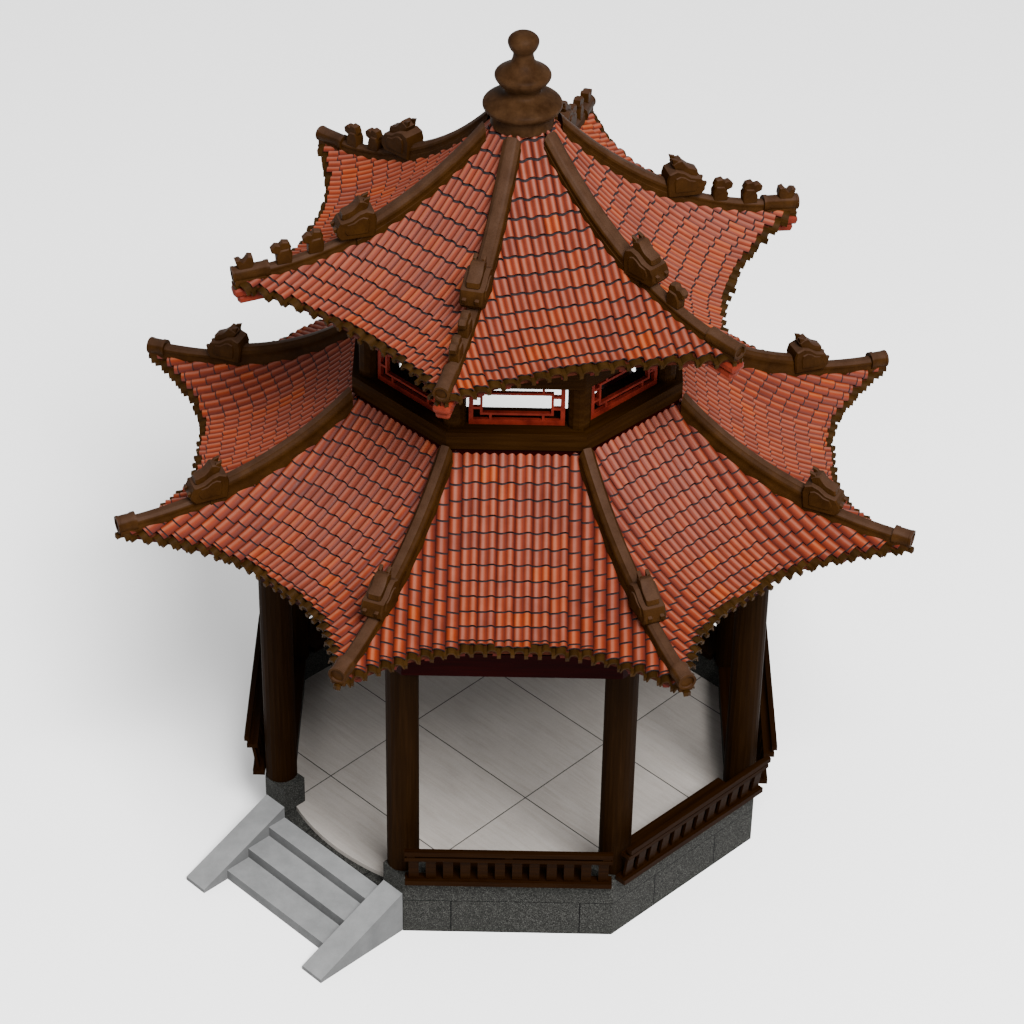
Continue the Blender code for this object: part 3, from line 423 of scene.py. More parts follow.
def tile_look():
    """Terracotta with a painted highlight on its crests, painted shade in its valleys, and a tone of its
    own for each tile.
    """
    look = Look("terracotta", 0.5, 0.045)
    tone, crest = look.attribute("tone"), look.attribute("crest")
    # painted light: the crest attribute picks painted shade for the valleys and a painted highlight for the
    # crests
    colour = look.shade(look.ramp(crest, *PAINTED_CREST_LIGHT), 1.0, tone, *TILE_TONES)
    cloud = look.noise(look.place, 7.0, 4.0, 0.6)
    grain = look.noise(look.place, 150.0, 2.0)
    colour = look.shade(colour, 0.4, cloud, (0.3, 0.70), (0.7, 1.25))
    colour = look.shade(colour, 0.3, grain, (0.3, 0.75), (0.7, 1.2))
    look.feed(look.shader.inputs["Roughness"], look.ramp(cloud, (0.3, 0.38), (0.7, 0.55)))
    return look.finish(colour, grain, 0.0012, 0.6)


def lip_shade_look():
    """Painted shade: the dark band at a tile's head, below the lip of the tile above, and on the lip's end
    face.
    """
    look = Look("tile_lip_shade", 0.85, 0.1)
    cloud = look.noise(look.place, 30.0)
    colour = look.ramp(cloud, (0.3, (0.0050, 0.0034, 0.0037)), (0.7, (0.0130, 0.0084, 0.0092)))
    return look.finish(colour, cloud, 0.001, 1.0)


def brown_look(name, low, high, sheen_low=None, sheen_high=None):
    """Dark glazed ware with cloudy wear, and a painted sheen, greyer, on faces that look up if a second
    pair is given.
    """
    look = Look(name, 0.55, 0.02)
    cloud = look.noise(look.place, 6.0, 5.0, 0.62)
    grain = look.noise(look.place, 90.0, 3.0)
    colour = look.ramp(cloud, (0.32, low), (0.68, high))
    if sheen_low is not None:
        # painted sheen: a greyer, lighter colour where the faces look up
        painted_top_sheen = look.ramp(look.split(look.normal)[2], (0.50, 0.0), (0.66, 1.0))
        colour = look.mix(painted_top_sheen, colour, look.ramp(cloud, (0.32, sheen_low), (0.68, sheen_high)))
    colour = look.shade(colour, 0.4, grain, (0.3, 0.6), (0.7, 1.3))
    return look.finish(colour, grain, 0.002, 0.5)


def column_look():
    """Dark stained timber with the grain upright."""
    look = Look("column_timber", 0.6, 0.01)
    grain = look.noise(look.stretch(look.place, (38.0, 38.0, 1.6)), 1.0, 4.0, 0.6, 0.4)
    colour = look.ramp(grain, (0.3, (0.0040, 0.0014, 0.0002)), (0.55, (0.0060, 0.0023, 0.0004)),
                       (0.75, (0.0086, 0.0034, 0.0008)))
    return look.finish(colour, grain, 0.0015, 0.6)


def board_look(name, dark, middle, light):
    """Timber with the grain along the nearest face of the octagon."""
    look = Look(name, 0.5, 0.01)
    along, out, height = look.face_frame()[:3]
    spread = look.join(look.math("MULTIPLY", along, 1.4), look.math("MULTIPLY", out, 30.0),
                       look.math("MULTIPLY", height, 30.0))
    grain = look.noise(spread, 1.0, 4.0, 0.62, 0.5)
    colour = look.ramp(grain, (0.28, dark), (0.5, middle), (0.74, light))
    return look.finish(colour, grain, 0.0015, 0.5)


def granite_look():
    """Dark speckled stone with a bed joint all round and upright joints below it."""
    look = Look("granite", 0.7, 0.03)
    along, out, height, number = look.face_frame()
    specks = look.split(look.cells(look.place, 150.0))[0]
    fleck = look.noise(look.place, 210.0, 2.0, 0.7)
    stone = look.ramp(specks, (0.0, (0.0050, 0.0050, 0.0046)), (0.45, (0.0115, 0.0115, 0.0104)),
                      (0.8, (0.0215, 0.0215, 0.0192)), (1.0, (0.0460, 0.0460, 0.0420)))
    stone = look.shade(stone, 0.6, fleck, (0.35, 0.45), (0.65, 1.5))
    odd = look.math("PINGPONG", number, 1.0)
    lines = []
    for place, change in UPRIGHT_JOINTS:
        middle = look.math("MULTIPLY_ADD", odd, change, place)
        lines.append(look.line(along, middle, UPRIGHT_HALF))
    below = look.math("LESS_THAN", height, BED_HEIGHT)
    upright = look.math("MULTIPLY", look.math("MAXIMUM", *lines), below)
    outside = look.math("GREATER_THAN", out, BED_START)
    bed = look.math("MULTIPLY", look.line(height, BED_HEIGHT, BED_HALF), outside)
    # the granite's own joints between its blocks
    joint_and_shade = look.math("MAXIMUM", upright, bed)
    colour = look.mix(joint_and_shade, stone, (0.002, 0.002, 0.002))
    relief = look.math("SUBTRACT", fleck, look.math("MULTIPLY", joint_and_shade, 2.0))
    return look.finish(colour, relief, 0.0010, 0.3)


def paving_look():
    """Large pale tiles laid diamond-wise, with long soft veins and thin dark grout."""
    look = Look("paving_stone", 0.45, 0.1)
    x, y = look.split(look.place)[:2]
    first = look.math("MULTIPLY", look.math("ADD", x, y), math.sqrt(0.5))
    second = look.math("ADD", look.math("MULTIPLY", x, math.cos(PAVING_TURN)),
                       look.math("MULTIPLY", y, math.sin(PAVING_TURN)))
    lines = []
    slabs = []
    for value, (start, pitch) in zip((first, second), PAVING_SETS):
        count = look.math("DIVIDE", look.math("SUBTRACT", value, start), pitch)
        slabs.append(look.math("FLOOR", count))
        share = look.math("SUBTRACT", count, look.math("ROUND", count))
        lines.append(look.math("LESS_THAN", look.math("ABSOLUTE", share), GROUT_HALF / pitch))
    grout = look.math("MAXIMUM", *lines)
    shift = look.math("MULTIPLY_ADD", slabs[0], 7.3, look.math("MULTIPLY", slabs[1], 3.7))
    spread = look.join(look.math("MULTIPLY", first, 26.0),
                       look.math("MULTIPLY_ADD", second, 1.7, shift), shift)
    vein = look.noise(spread, 1.0, 5.0, 0.6, 0.8)
    cloud = look.noise(look.join(first, second, shift), 1.8, 3.0)
    grain = look.noise(look.place, 70.0, 3.0, 0.7)
    stone = look.ramp(vein, (0.25, (0.158, 0.142, 0.126)), (0.5, (0.182, 0.166, 0.150)),
                      (0.75, (0.198, 0.183, 0.168)))
    stone = look.shade(stone, 0.5, cloud, (0.3, 0.85), (0.7, 1.12))
    stone = look.shade(stone, 0.4, grain, (0.3, 0.82), (0.7, 1.15))
    colour = look.mix(grout, stone, (0.020, 0.018, 0.017))
    return look.finish(colour, look.math("SUBTRACT", 1.0, grout), 0.002, 0.6)


def concrete_look():
    """Pale cast stone, with painted shade on its upright faces."""
    look = Look("pale_concrete", 0.8, 0.03)
    cloud = look.noise(look.place, 4.0, 5.0, 0.65)
    grain = look.noise(look.place, 120.0, 2.0)
    colour = look.ramp(cloud, (0.3, (0.107, 0.108, 0.108)), (0.7, (0.143, 0.144, 0.144)))
    colour = look.shade(colour, 0.4, grain, (0.3, 0.85), (0.7, 1.1))
    # painted shade: upright faces darker than the treads
    colour = look.shade(colour, 1.0, look.split(look.normal)[2], (0.20, 0.62), (0.50, 1.0))
    return look.finish(colour, grain, 0.0015, 0.5)


def paint_look(name, low, high):
    """Red paint, faded in clouds."""
    look = Look(name, 0.5, 0.04)
    cloud = look.noise(look.place, 7.0, 4.0, 0.6)
    grain = look.noise(look.place, 110.0, 2.0)
    colour = look.ramp(cloud, (0.3, low), (0.7, high))
    return look.finish(colour, grain, 0.001, 0.4)


def make_materials():
    """Every material, by the name that pieces and nodes use."""
    return {
        "tile": tile_look(),
        "joint_and_shade": lip_shade_look(),
        # the last two colours are the painted sheen on the ridges' tops
        "brown": brown_look("ridge_brown", (0.0110, 0.0038, 0.0006), (0.0205, 0.0076, 0.0013),
                            (0.0205, 0.0092, 0.0046), (0.0285, 0.0140, 0.0078)),
        "finial": brown_look("finial_brown", (0.0100, 0.0037, 0.0009), (0.0250, 0.0115, 0.0045)),
        "cap": brown_look("cap_brown", (0.0088, 0.0037, 0.0006), (0.0205, 0.0088, 0.0017)),
        # painted shade for the insides of hollow ends
        "hollow_shade": brown_look("hollow_shade_brown", (0.0048, 0.0020, 0.0004), (0.0125, 0.0052, 0.0009)),
        "column": column_look(),
        "bench": board_look("bench_timber", (0.0038, 0.0011, 0.0001), (0.0060, 0.0019, 0.0002),
                            (0.0090, 0.0031, 0.0004)),
        "drum": board_look("drum_timber", (0.0060, 0.0019, 0.0002), (0.0095, 0.0033, 0.0004),
                           (0.0140, 0.0054, 0.0009)),
        "soffit": board_look("soffit_boards", (0.012, 0.0020, 0.0010), (0.022, 0.0050, 0.0025),
                             (0.038, 0.010, 0.005)),
        "rafter": paint_look("rafter_paint", (0.020, 0.0018, 0.0008), (0.050, 0.0050, 0.0022)),
        "lintel": board_look("lintel_paint", (0.0036, 0.0, 0.0), (0.0056, 0.0, 0.0),
                             (0.0085, 0.0001, 0.0001)),
        "nose": paint_look("nose_paint", (0.045, 0.0048, 0.0022), (0.095, 0.0120, 0.0050)),
        "lattice": paint_look("lattice_paint", (0.045, 0.0035, 0.0018), (0.110, 0.0100, 0.0048)),
        "granite": granite_look(),
        "paving": paving_look(),
        "concrete": concrete_look(),
    }


class Pile:
    """Points and faces gathered for one joined mesh."""

    def __init__(self):
        self.points = []
        self.crests = []
        self.faces = []
        self.slots = []
        self.tones = []

    def add_face(self, corners, slot, tone):
        self.faces.append(corners)
        self.slots.append(slot)
        self.tones.append(tone)

    def skin(self, rows, slot=0, tone=MIDDLE_TONE, crests=None):
        """Cover equally long rows of points with quads."""
        base, width = len(self.points), len(rows[0])
        for row in rows:
            self.points.extend(row)
            self.crests.extend([MIDDLE_TONE] * width if crests is None else crests)
        for i in range(len(rows) - 1):
            for j in range(width - 1):
                a = base + i * width + j
                self.add_face((a, a + width, a + width + 1, a + 1), slot, tone)

    def fan(self, ring, slot):
        """Close a ring of points with one face."""
        base = len(self.points)
        self.points.extend(ring)
        self.crests.extend([MIDDLE_TONE] * len(ring))
        self.add_face(tuple(range(base, base + len(ring))), slot, MIDDLE_TONE)

    def solid(self, rings, slot=0, end_slot=None):
        """Skin over rings of points, closed at both ends."""
        self.skin([ring + [ring[0]] for ring in rings], slot)
        self.fan(rings[0], slot)
        self.fan(rings[-1], slot if end_slot is None else end_slot)

    def bar(self, seat, low, high, bevel, slot):
        """A box between two corners with its edges cut, placed by a matrix."""
        rings = []
        stations = ((low[0], bevel), (low[0] + bevel, 0.0), (high[0] - bevel, 0.0), (high[0], bevel))
        for x, inset in stations:
            y0, y1, z0, z1 = low[1] + inset, high[1] - inset, low[2] + inset, high[2] - inset
            section = ((y0 + bevel, z0), (y1 - bevel, z0), (y1, z0 + bevel), (y1, z1 - bevel),
                       (y1 - bevel, z1), (y0 + bevel, z1), (y0, z1 - bevel), (y0, z0 + bevel))
            rings.append([seat @ Vector((x, y, z)) for y, z in section])
        self.solid(rings, slot)

    def ornament(self, seat, shape, side=0.0):
        """A side outline widened to both sides, with its edges cut, placed by a matrix."""
        seat = seat @ Matrix.Translation((0.0, side, 0.0))
        outline, half, bevel = shape["outline"], shape["half"], shape["bevel"]
        middle = Vector((sum(p[0] for p in outline), sum(p[1] for p in outline))) / len(outline)
        rings = []
        for y, inset in ((-half, bevel), (bevel - half, 0.0), (half - bevel, 0.0), (half, bevel)):
            ring = []
            for point in outline:
                inward = middle - Vector(point)
                x, z = Vector(point) + inward.normalized() * inset
                ring.append(seat @ Vector((x, y, z)))
            rings.append(ring)
        self.solid(rings)

    def make(self, name, materials, sharp=SHARP_ANGLE, closed=True):
        """One object of all that was gathered; a closed one is welded and faces outwards."""
        mesh = bpy.data.meshes.new(name)
        mesh.from_pydata([tuple(p) for p in self.points], [], self.faces)
        for material in materials:
            mesh.materials.append(MATERIALS[material])
        mesh.polygons.foreach_set("material_index", self.slots)
        if closed:
            bm = bmesh.new()
            bm.from_mesh(mesh)
            bmesh.ops.remove_doubles(bm, verts=bm.verts, dist=WELD_DISTANCE)
            bmesh.ops.recalc_face_normals(bm, faces=bm.faces)
            bm.to_mesh(mesh)
            bm.free()
        else:
            mesh.attributes.new("tone", "FLOAT", "FACE").data.foreach_set("value", self.tones)
            mesh.attributes.new("crest", "FLOAT", "POINT").data.foreach_set("value", self.crests)
        mesh.shade_smooth()
        mesh.set_sharp_from_angle(angle=math.radians(sharp))
        return add_object(name, mesh)


def add_piece(piece, slot, *replaced):
    """Hang a piece on the root body and hide the nodes that it stands for.

    The slot is not used.
    """
    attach(piece, "root")
    if replaced:
        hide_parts(*replaced)


def face_angle(roof, face):
    """Turn of a face from the front, counted from 0."""
    return roof["turn"] + math.pi / 2.0 + face * 2.0 * math.pi / roof["sides"]


def hip_angle(roof, number):
    """Direction of a hip, counted from 0."""
    return roof["turn"] + (number + 0.5) * 2.0 * math.pi / roof["sides"]


def circle(sides):
    """Evenly spread angles."""
    return [2.0 * math.pi * k / sides for k in range(sides)]


def level_line(roof, down):
    """Distance outwards of the middle of a face, and what the corners add to it, some way down."""
    return roof["inner"] + (roof["outer"] - roof["inner"]) * down, roof["flare"] * down * down


def roof_grid(roof, side, down):
    """Lateral place, distance outwards and height of the deck's top, for arrays.

    The side runs from -1 to 1 between the hips, and down from 0 to 1 between inner edge and eave.
    """
    middle, reach = level_line(roof, down)
    bend = np.maximum(0.0, (np.abs(side) - FLARE_START) / (1.0 - FLARE_START)) ** FLARE_POWER
    lateral = side * (middle + reach) * math.tan(math.pi / roof["sides"])
    slope = (1.0 + roof["hollow"]) * down - roof["hollow"] * down * down
    height = roof["top"] - roof["fall"] * slope + roof["rise"] * bend * down ** 3
    return lateral, middle + reach * bend, height


def half_width(roof, down):
    """Lateral place of the hip, some way down."""
    middle, reach = level_line(roof, down)
    return (middle + reach) * math.tan(math.pi / roof["sides"])


def deck_spot(roof, x, down):
    """The same as roof_grid for lateral places, kept between the hips."""
    side = np.clip(x / half_width(roof, down), -1.0, 1.0)
    return roof_grid(roof, side, down)


def deck_height(roof, x, out):
    """Height of the deck at a lateral place and a distance outwards, found by halving."""
    low, high = (np.full_like(out, limit) for limit in SEARCH_RANGE)
    for _ in range(SEARCH_HALVINGS):
        middle = (low + high) / 2.0
        near = deck_spot(roof, x, middle)[1] < out
        low, high = np.where(near, middle, low), np.where(near, high, middle)
    return deck_spot(roof, x, low)[2]


def middle_height(roof, out):
    """Height of the deck at the middle of a face, at a distance outwards."""
    return float(deck_height(roof, np.array([0.0]), np.array([out]))[0])


def hip_limit(roof, out):
    """Lateral place of the hip at a distance outwards."""
    down = np.linspace(*HIP_RANGE, HIP_SAMPLES)
    lateral, reach = roof_grid(roof, np.ones_like(down), down)[:2]
    return np.interp(out, reach, lateral)


def lay(roof, x, out, lift):
    """Points over the deck, lifted square to the slope, in the front face's frame."""
    x = np.clip(x, -hip_limit(roof, out), hip_limit(roof, out))
    height = deck_height(roof, x, out)
    fall = (height - deck_height(roof, x, out + SLOPE_STEP)) / SLOPE_STEP
    lean = np.arctan(fall)
    reach = np.minimum(out + lift * np.sin(lean), REACH_LIMIT)
    return np.stack([x, -reach, height + lift * np.cos(lean)], axis=-1)


def on_every_face(roof, shapes):
    """Lay shapes, made of rows of lateral place, distance outwards and lift, on each face in turn.

    Gives the number of each shape and its rows of points.
    """
    rows = [row for shape in shapes for row in shape]
    x, out, lift = (np.concatenate([row[part] for row in rows]) for part in range(3))
    points = lay(roof, x, out, lift)
    for face in range(roof["sides"]):
        angle = face_angle(roof, face)
        cosine, sine = math.cos(angle), math.sin(angle)
        turned = points @ np.array([[cosine, sine, 0.0], [-sine, cosine, 0.0], [0.0, 0.0, 1.0]])
        start = 0
        for number, shape in enumerate(shapes):
            placed = []
            for row in shape:
                stop = start + len(row[0])
                placed.append(turned[start:stop].tolist())
                start = stop
            yield number, placed


def tile_columns(roof):
    """Left and right place and profile of each tile column of a face."""
    limit = half_width(roof, 1.0)
    if roof is UPPER_ROOF:
        count = 2 * math.ceil(limit / UPPER_WIDE)
        edges = [(k - count / 2) * UPPER_WIDE for k in range(count + 1)]
        return [(left, right, DOUBLE) for left, right in zip(edges, edges[1:])]
    half = LOWER_WIDE * LOWER_WIDE_COUNT / 2.0
    edges = [k * LOWER_WIDE - half for k in range(LOWER_WIDE_COUNT + 1)]
    columns = [(left, right, DOUBLE) for left, right in zip(edges, edges[1:])]
    for k in range(math.ceil((limit - half) / LOWER_NARROW)):
        near, far = half + k * LOWER_NARROW, half + (k + 1) * LOWER_NARROW
        columns = [(-far, -near, ROLL)] + columns + [(near, far, ROLL)]
    return columns


def tile_ends(roof, x, settle, dice):
    """Distances outwards of the tiles' ends in the column at a lateral place, from the eave inwards."""
    out, height = deck_spot(roof, x, np.linspace(0.0, 1.0, COLUMN_SAMPLES))[1:]
    step = np.hypot(np.diff(out), np.diff(height))
    length = np.concatenate([np.cumsum(step[::-1])[::-1], [0.0]])
    places = [dice.uniform(0.0, END_RETREAT)]
    place = roof["first"] + settle
    while place < length[0] + roof["pitch"]:
        places.append(place)
        place += roof["pitch"]
    return [float(np.interp(-place, -length, out)) if place <= length[0]
            else float(out[0] - (place - length[0]) * INNER_RUN) for place in places]


def tile_rows(roof, column, lower, upper, at_eave, dice):
    """Rows of a tile: start of the painted shade at its head, start, bend and end of its top, lip's foot.
    """
    left, right, profile = column
    share, rise, tongue = np.array(profile).T[:3]
    across = left + share * (right - left)
    lean = dice.uniform(-TILE_LEAN, TILE_LEAN)
    shift = dice.uniform(-JOINT_SHIFT, JOINT_SHIFT)
    bite = tongue * EAVE_BITE if at_eave else tongue
    rows = [(across, np.full_like(across, upper + shift), TILE_BASE + rise)]
    # painted shade band: from under the upper tile's tongue to a little past it
    covered = (tongue + roof["joint_and_shade"]) / (lower - upper)
    for along in (covered, np.full_like(share, TILE_BEND), np.ones_like(share)):
        out = upper + (lower - upper + bite) * along
        rows.append((across, out, TILE_BASE + rise + (TILE_LIP + lean) * along))
    rows.append((across, out, TILE_BASE + rise - LIP_DROP))
    return rows


def tile_field(roof):
    """Every tile of one face: its rows, its painted highlight and shade across, and how far down the roof
    it lies.
    """
    dice = random.Random(roof["seed"])
    limit = half_width(roof, 1.0)
    tiles = []
    for column in tile_columns(roof):
        left, right, profile = column
        level = profile is DOUBLE and roof is LOWER_ROOF
        settle = 0.0 if level else dice.uniform(*COLUMN_SETTLE)
        middle = max(-limit, min(limit, (left + right) / 2.0))
        ends = tile_ends(roof, middle, settle, dice)
        near_edge = min(abs(left), abs(right)) + TILE_MARGIN
        crest = [point[3] for point in profile]
        for number, (lower, upper) in enumerate(zip(ends, ends[1:])):
            if hip_limit(roof, lower) < near_edge or lower < roof["inner"] + TILE_MARGIN:
                continue
            upper = max(upper, roof["inner"] - INNER_REACH)
            rows = tile_rows(roof, column, lower, upper, number == 0, dice)
            retreat = (roof["outer"] - min(lower, roof["outer"])) / (roof["outer"] - roof["inner"])
            tiles.append((rows, crest, 1.0 - retreat))
    return tiles


def tiled_roof(name, roof):
    """All tiles of a roof, each with painted shade at its head and on its lip's end face."""
    tiles = tile_field(roof)
    dice = random.Random(roof["seed"] + 1)
    pile = Pile()
    for number, rows in on_every_face(roof, [tile[0] for tile in tiles]):
        crest, down = tiles[number][1:]
        tone = min(1.0, max(0.0, dice.gauss(TONE_TOP + TONE_GAIN * down, TONE_SPREAD)))
        # painted shade on the tile's head below the lip above, and on its lip's end face
        pile.skin(rows[:2], LIP_SHADE_SLOT, tone)
        pile.skin(rows[1:4], TILE_SLOT, tone, crest)
        pile.skin(rows[3:], LIP_SHADE_SLOT, tone)
    return pile.make(name, ("tile", "joint_and_shade"), closed=False)


def drip_places(roof):
    """Lateral places of the drips along one eave, with a cap between each two."""
    if roof is UPPER_ROOF:
        places, pitch = [0.0], UPPER_WIDE
    else:
        half, pitch = LOWER_WIDE * LOWER_WIDE_COUNT / 2.0, LOWER_NARROW
        places = [2.0 * half * k / MIDDLE_CAPS - half for k in range(MIDDLE_CAPS + 1)]
    place = places[-1] + pitch
    while place < half_width(roof, 1.0) + TILE_MARGIN:
        places = [-place] + places + [place]
        place += pitch
    return places


def drip_rows(roof, x, dice):
    """The square sections at both ends of a drip."""
    edge = deck_spot(roof, x, 1.0)[1]
    stop = edge + roof["drip"] + dice.uniform(*DRIP_SPREAD)
    across = [x + DRIP_HALF * side for side, top in DRIP_CORNERS]
    lift = [DRIP_HALF_TALL * top - DRIP_DROP for side, top in DRIP_CORNERS]
    return [(across, [out] * len(across), lift) for out in (edge - DRIP_START, stop)]


def arch_lift(share, top):
    """Height of a boxy arch across its span."""
    return CAP_FOOT + (top - CAP_FOOT) * (1.0 - np.abs(2.0 * share - 1.0) ** CAP_POWER)


def cap_rows(roof, left, right, dice):
    """Rows of a cap between two drips: over its outside, then round its rim into its hollow end."""
    edge = deck_spot(roof, (left + right) / 2.0, 1.0)[1]
    start = edge - CAP_START
    stop = edge + roof["cap"] + dice.uniform(-CAP_SPREAD, CAP_SPREAD)
    share = np.linspace(0.0, 1.0, CAP_POINTS)
    span = right - left - 2.0 * CAP_GAP
    across = left + CAP_GAP + share * span
    inside = left + CAP_GAP + CAP_WALL + share * (span - 2.0 * CAP_WALL)
    outer, inner = arch_lift(share, CAP_TOP), arch_lift(share, CAP_TOP - CAP_WALL)
    foot = np.full_like(share, CAP_FOOT)
    rows = ((across, start, outer), (across, stop, outer), (inside, stop, inner),
            (inside, stop - CAP_HOLLOW, inner), (inside, stop - CAP_HOLLOW, foot))
    return [(x, np.full_like(x, out), lift) for x, out, lift in rows]


def eave_caps(name, roof):
    """Brown hollow caps under the last tiles, with painted shade inside their hollow ends, and narrow drips
    between them, along every eave.
    """
    places = drip_places(roof)
    dice = random.Random(roof["seed"] + 5)
    drips = [drip_rows(roof, x, dice) for x in places]
    caps = [cap_rows(roof, left, right, dice) for left, right in zip(places, places[1:])]
    pile = Pile()
    for number, rows in on_every_face(roof, drips + caps):
        if number < len(drips):
            pile.solid(rows, WARE_SLOT)
        else:
            pile.skin(rows[:3], WARE_SLOT)
            # painted shade inside the cap's hollow end
            pile.skin(rows[2:], HOLLOW_SHADE_SLOT)
    return pile.make(name, ("cap", "hollow_shade"), closed=False)


def roof_boards(pile, roof):
    """Boards of a roof, a thin shell under its tiles, and the rafters that carry them."""
    side = np.linspace(-1.0, 1.0, BOARD_COLUMNS + 1)
    high, low = RAFTER_SINK - BOARD_DEPTH, -RAFTER_DEPTH
    section = ((-RAFTER_HALF, high), (RAFTER_HALF, high), (RAFTER_HALF, low), (-RAFTER_HALF, low))
    for face in range(roof["sides"]):
        turn = Matrix.Rotation(face_angle(roof, face), 4, "Z")
        top, bottom = [], []
        for down in np.linspace(0.0, 1.0, BOARD_ROWS + 1):
            row = list(zip(*roof_grid(roof, side, down)))
            top.append([turn @ Vector((x, -out, z)) for x, out, z in row])
            bottom.append([turn @ Vector((x, -out, z - BOARD_DEPTH)) for x, out, z in row])
        for rows in (top, bottom, [top[0], bottom[0]], [top[-1], bottom[-1]]):
            pile.skin(rows, BOARD_SLOT)
        for share in np.linspace(-RAFTER_SHARE, RAFTER_SHARE, RAFTER_COUNT):
            rings = []
            for down in np.linspace(*RAFTER_SPAN, RAFTER_POINTS):
                x, out, z = (float(v) for v in roof_grid(roof, share, down))
                rings.append([turn @ Vector((x + aside, -out, z + up)) for aside, up in section])
            pile.solid(rings, RAFTER_SLOT)


def roof_plates(pile, roof, plate):
    """Upright plates from the frame below to the deck, one under each face."""
    near, far, half, low = plate
    high = middle_height(roof, (near + far) / 2.0) - PLATE_DROP
    for face in range(roof["sides"]):
        turn = Matrix.Rotation(face_angle(roof, face), 4, "Z")
        pile.bar(turn, (-half, -far, low), (half, -near, high), PLATE_BEVEL, PLATE_SLOT)


def curb_ring(pile, roof, curb):
    """Ring that closes the deck's inner edge under the drum's sill."""
    inner, outer, high = curb
    low = middle_height(roof, outer) - CURB_DROP
    scale = 1.0 / math.cos(math.pi / roof["sides"])
    rings = []
    for number in range(roof["sides"] + 1):
        angle = hip_angle(roof, number)
        section = ((inner, low), (outer, low), (outer, high), (inner, high), (inner, low))
        rings.append([(r * scale * math.cos(angle), r * scale * math.sin(angle), z) for r, z in section])
    pile.skin(rings, PLATE_SLOT)


def hip_spot(roof, down):
    """Distance from the axis and height of the deck's top along a hip."""
    lateral, out, height = (float(v) for v in roof_grid(roof, 1.0, down))
    return math.hypot(lateral, out), height


def hip_seat(roof, down):
    """Matrix at a place of the first hip, along +X and leaning with the slope."""
    radius, height = hip_spot(roof, down)
    near, far = hip_spot(roof, down - HIP_STEP), hip_spot(roof, min(1.0, down + HIP_STEP))
    fall = math.atan2(near[1] - far[1], far[0] - near[0])
    return Matrix.Translation((radius, 0.0, height)) @ Matrix.Rotation(fall, 4, "Y")


def hip_down(roof, radius):
    """How far down the roof a distance from the axis lies on a hip."""
    downs = np.linspace(0.0, 1.0, HIP_SAMPLES)
    return float(np.interp(radius, [hip_spot(roof, down)[0] for down in downs], downs))


def corner_noses(pile, roof):
    """Red ends of the corner beams, two blocks deep, under the hips' tips."""
    middle, half = sum(NOSE_SPAN) / 2.0, (NOSE_SPAN[1] - NOSE_SPAN[0]) / 2.0
    seat = hip_seat(roof, hip_down(roof, middle))
    for number in range(roof["sides"]):
        turned = Matrix.Rotation(hip_angle(roof, number), 4, "Z") @ seat
        for top, bottom, width in NOSE_LEVELS:
            low = (-half, -width, -NOSE_DROP - bottom)
            high = (half - top * NOSE_STEP_BACK, width, -NOSE_DROP - top)
            pile.bar(turned, low, high, NOSE_BEVEL, NOSE_SLOT)


def under_roof(name, roof, plate, curb=None, noses=False):
    """Boards, rafters and plates of a roof, with a curb ring and corner beams where it has them."""
    pile = Pile()
    roof_boards(pile, roof)
    roof_plates(pile, roof, plate)
    if curb is not None:
        curb_ring(pile, roof, curb)
    if noses:
        corner_noses(pile, roof)
    return pile.make(name, ("soffit", "rafter", "lintel", "nose"))


def ridge_ring(roof, half, tall, down):
    """Points of a ridge's section at a place along the hip, a narrow flat cap over rounded shoulders."""
    radius, height = hip_spot(roof, down)
    right = [(radius, share * half, height + rise * tall) for share, rise in RIDGE_SECTION]
    return right + [(x, -y, z) for x, y, z in reversed(right)]


def on_hip(turn, roof, down, up=0.0, back=0.0):
    """Matrix of an upright place on or over a hip."""
    radius, height = hip_spot(roof, down)
    return turn @ Matrix.Translation((radius - back, 0.0, height + up))


def ridge_run(pile, turn, roof, ridge):
    """The ridge's body: thick as far as the block and thin after it."""
    thick = (ridge["half"], ridge["tall"], ridge["start"], ridge["block"], THICK_STEPS)
    thin = (ridge["thin_half"], ridge["thin_tall"], ridge["block"], RIDGE_END, THIN_STEPS)
    for half, tall, first, last, steps in (thick, thin):
        rings = []
        for down in np.linspace(first, last, steps):
            rings.append([turn @ Vector(point) for point in ridge_ring(roof, half, tall, down)])
        pile.solid(rings, WARE_SLOT)


def ridge_tube(pile, turn, roof, ridge):
    """Round tube over the ridge's end, with a collar where it starts and a hollow mouth with painted shade
    at its bottom.
    """
    radius, half = ridge["tube_radius"], ridge["tube"] / 2.0
    seat = turn @ hip_seat(roof, hip_down(roof, hip_spot(roof, 1.0)[0] - half))
    middle = radius + TUBE_LIFT
    rings = []
    for end, place, added in TUBE_PROFILE:
        x, size = end * half + place, radius + added
        rings.append([seat @ Vector((x, size * math.cos(a), middle + size * math.sin(a)))
                      for a in circle(TUBE_SIDES)])
    # painted shade on the bottom of the mouth's hollow
    pile.solid(rings, WARE_SLOT, HOLLOW_SHADE_SLOT)


def ridge_block(pile, turn, roof, ridge):
    """Block with an animal's head on it, where the thick part ends."""
    seat = on_hip(turn, roof, ridge["block"])
    pile.ornament(seat, BLOCK)
    middle = Vector(RELIEF["middle"])
    outline = [middle + (Vector(point) - middle) * RELIEF["share"] for point in BLOCK["outline"]]
    pile.ornament(seat, {**RELIEF, "outline": outline})
    pile.ornament(seat, HEAD)
    for side in (-1.0, 1.0):
        for shape in (HORN, FANG):
            pile.ornament(seat, shape, side * shape["side"])


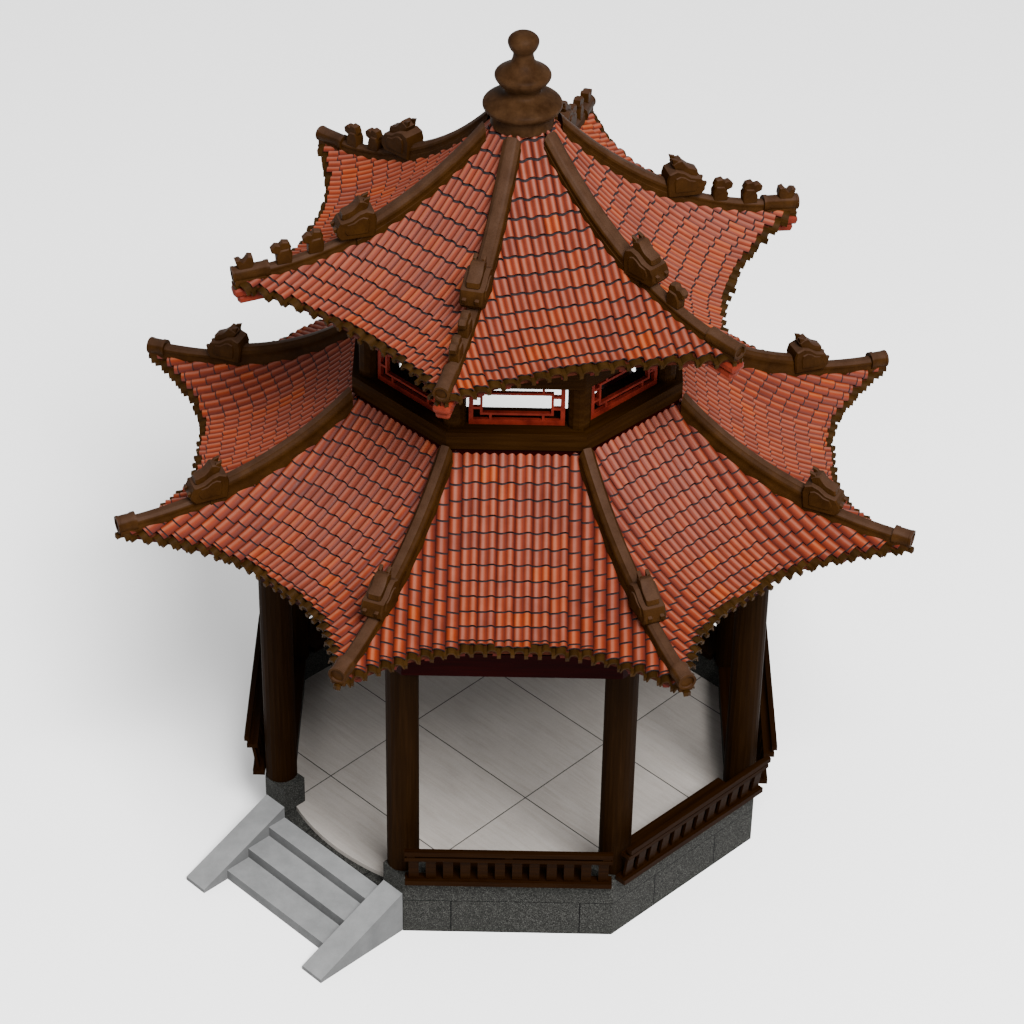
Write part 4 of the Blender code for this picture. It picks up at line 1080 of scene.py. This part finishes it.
def hip_ridge(name, roof, ridge, number):
    """A ridge, counted from 1, with its tube, its block and its small figures."""
    pile = Pile()
    turn = Matrix.Rotation(hip_angle(roof, number - 1), 4, "Z")
    ridge_run(pile, turn, roof, ridge)
    ridge_tube(pile, turn, roof, ridge)
    ridge_block(pile, turn, roof, ridge)
    figures = ridge["figures"] if number in ridge["second"] else ridge["figures"][:1]
    for down in figures:
        seat = on_hip(turn, roof, down, ridge["thin_tall"])
        pile.ornament(seat, FIGURE)
        pile.ornament(seat, FIGURE_HEAD)
    if number in ridge["tip"]:
        pile.ornament(on_hip(turn, roof, RIDGE_END, back=TIP["inset"]), TIP)
    return pile.make(name, ("brown", "hollow_shade"), RIDGE_SHARP)


def smooth_profile(points, steps):
    """Catmull-Rom points through a list of pairs."""
    padded = [points[0], *points, points[-1]]
    result = []
    for neighbours in zip(padded, padded[1:], padded[2:], padded[3:]):
        for step in range(steps):
            t = step / steps
            result.append(tuple(0.5 * (2.0 * b + (c - a) * t + (2.0 * a - 5.0 * b + 4.0 * c - d) * t * t
                                       + (3.0 * b - a - 3.0 * c + d) * t ** 3)
                                for a, b, c, d in zip(*neighbours)))
    result.append(points[-1])
    return result


def finial():
    """Turned gourd on the upper roof."""
    pile = Pile()
    rings = []
    for radius, height in smooth_profile(FINIAL_PROFILE, FINIAL_STEPS):
        level = min(height, FINIAL_TOP)
        rings.append([(radius * math.cos(a), radius * math.sin(a), level) for a in circle(FINIAL_SIDES)])
    pile.solid(rings)
    return pile.make("finial_turned", ("finial",), FINIAL_SHARP)


def dress_nodes(nodes):
    """Give every CAD node its finished material."""
    for name, node in nodes.items():
        look = next(look for look, starts in NODE_LOOKS.items() if name.startswith(starts))
        node.data.materials.clear()
        node.data.materials.append(MATERIALS[look])


def make_floor():
    """Plain pale floor, which isn't part of the pavilion."""
    mesh = bpy.data.meshes.new("studio_floor")
    low, high = -FLOOR_HALF, FLOOR_HALF
    corners = [(x, y, FLOOR_HEIGHT) for x, y in ((low, low), (high, low), (high, high), (low, high))]
    mesh.from_pydata(corners, [], [(0, 1, 2, 3)])
    floor = add_object("studio_floor", mesh)
    material = bpy.data.materials.new("studio_floor")
    material.use_nodes = True
    shader = material.node_tree.nodes["Principled BSDF"]
    shader.inputs["Base Color"].default_value = FLOOR_COLOUR
    shader.inputs["Roughness"].default_value = FLOOR_ROUGHNESS
    mesh.materials.append(material)


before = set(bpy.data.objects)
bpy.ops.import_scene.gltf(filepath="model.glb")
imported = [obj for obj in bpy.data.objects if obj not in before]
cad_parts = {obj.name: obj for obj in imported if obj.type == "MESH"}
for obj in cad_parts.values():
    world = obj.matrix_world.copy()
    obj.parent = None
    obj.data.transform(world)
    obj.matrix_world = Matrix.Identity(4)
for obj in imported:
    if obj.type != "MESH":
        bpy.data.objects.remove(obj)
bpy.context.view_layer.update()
MATERIALS = make_materials()
dress_nodes(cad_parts)
for label, roof in (("lower", LOWER_ROOF), ("upper", UPPER_ROOF)):
    add_piece(tiled_roof(label + "_tiles", roof), "roof_tile", label + "_roof")
    add_piece(eave_caps(label + "_eave_caps", roof), "ridge_tile")
add_piece(under_roof("lower_boards", LOWER_ROOF, LOWER_PLATE, LOWER_CURB), "dark_wood", "lower_roof")
add_piece(under_roof("upper_boards", UPPER_ROOF, UPPER_PLATE, noses=True), "dark_wood", "upper_roof")
for label, roof, ridge in (("lower", LOWER_ROOF, LOWER_RIDGE), ("upper", UPPER_ROOF, UPPER_RIDGE)):
    for number in range(1, roof["sides"] + 1):
        piece = hip_ridge("%s_hip_%d" % (label, number), roof, ridge, number)
        add_piece(piece, "ridge_tile", "%s_ridge_%d" % (label, number))
add_piece(finial(), "ridge_tile", "finial")
make_camera()
make_lights()
make_floor()
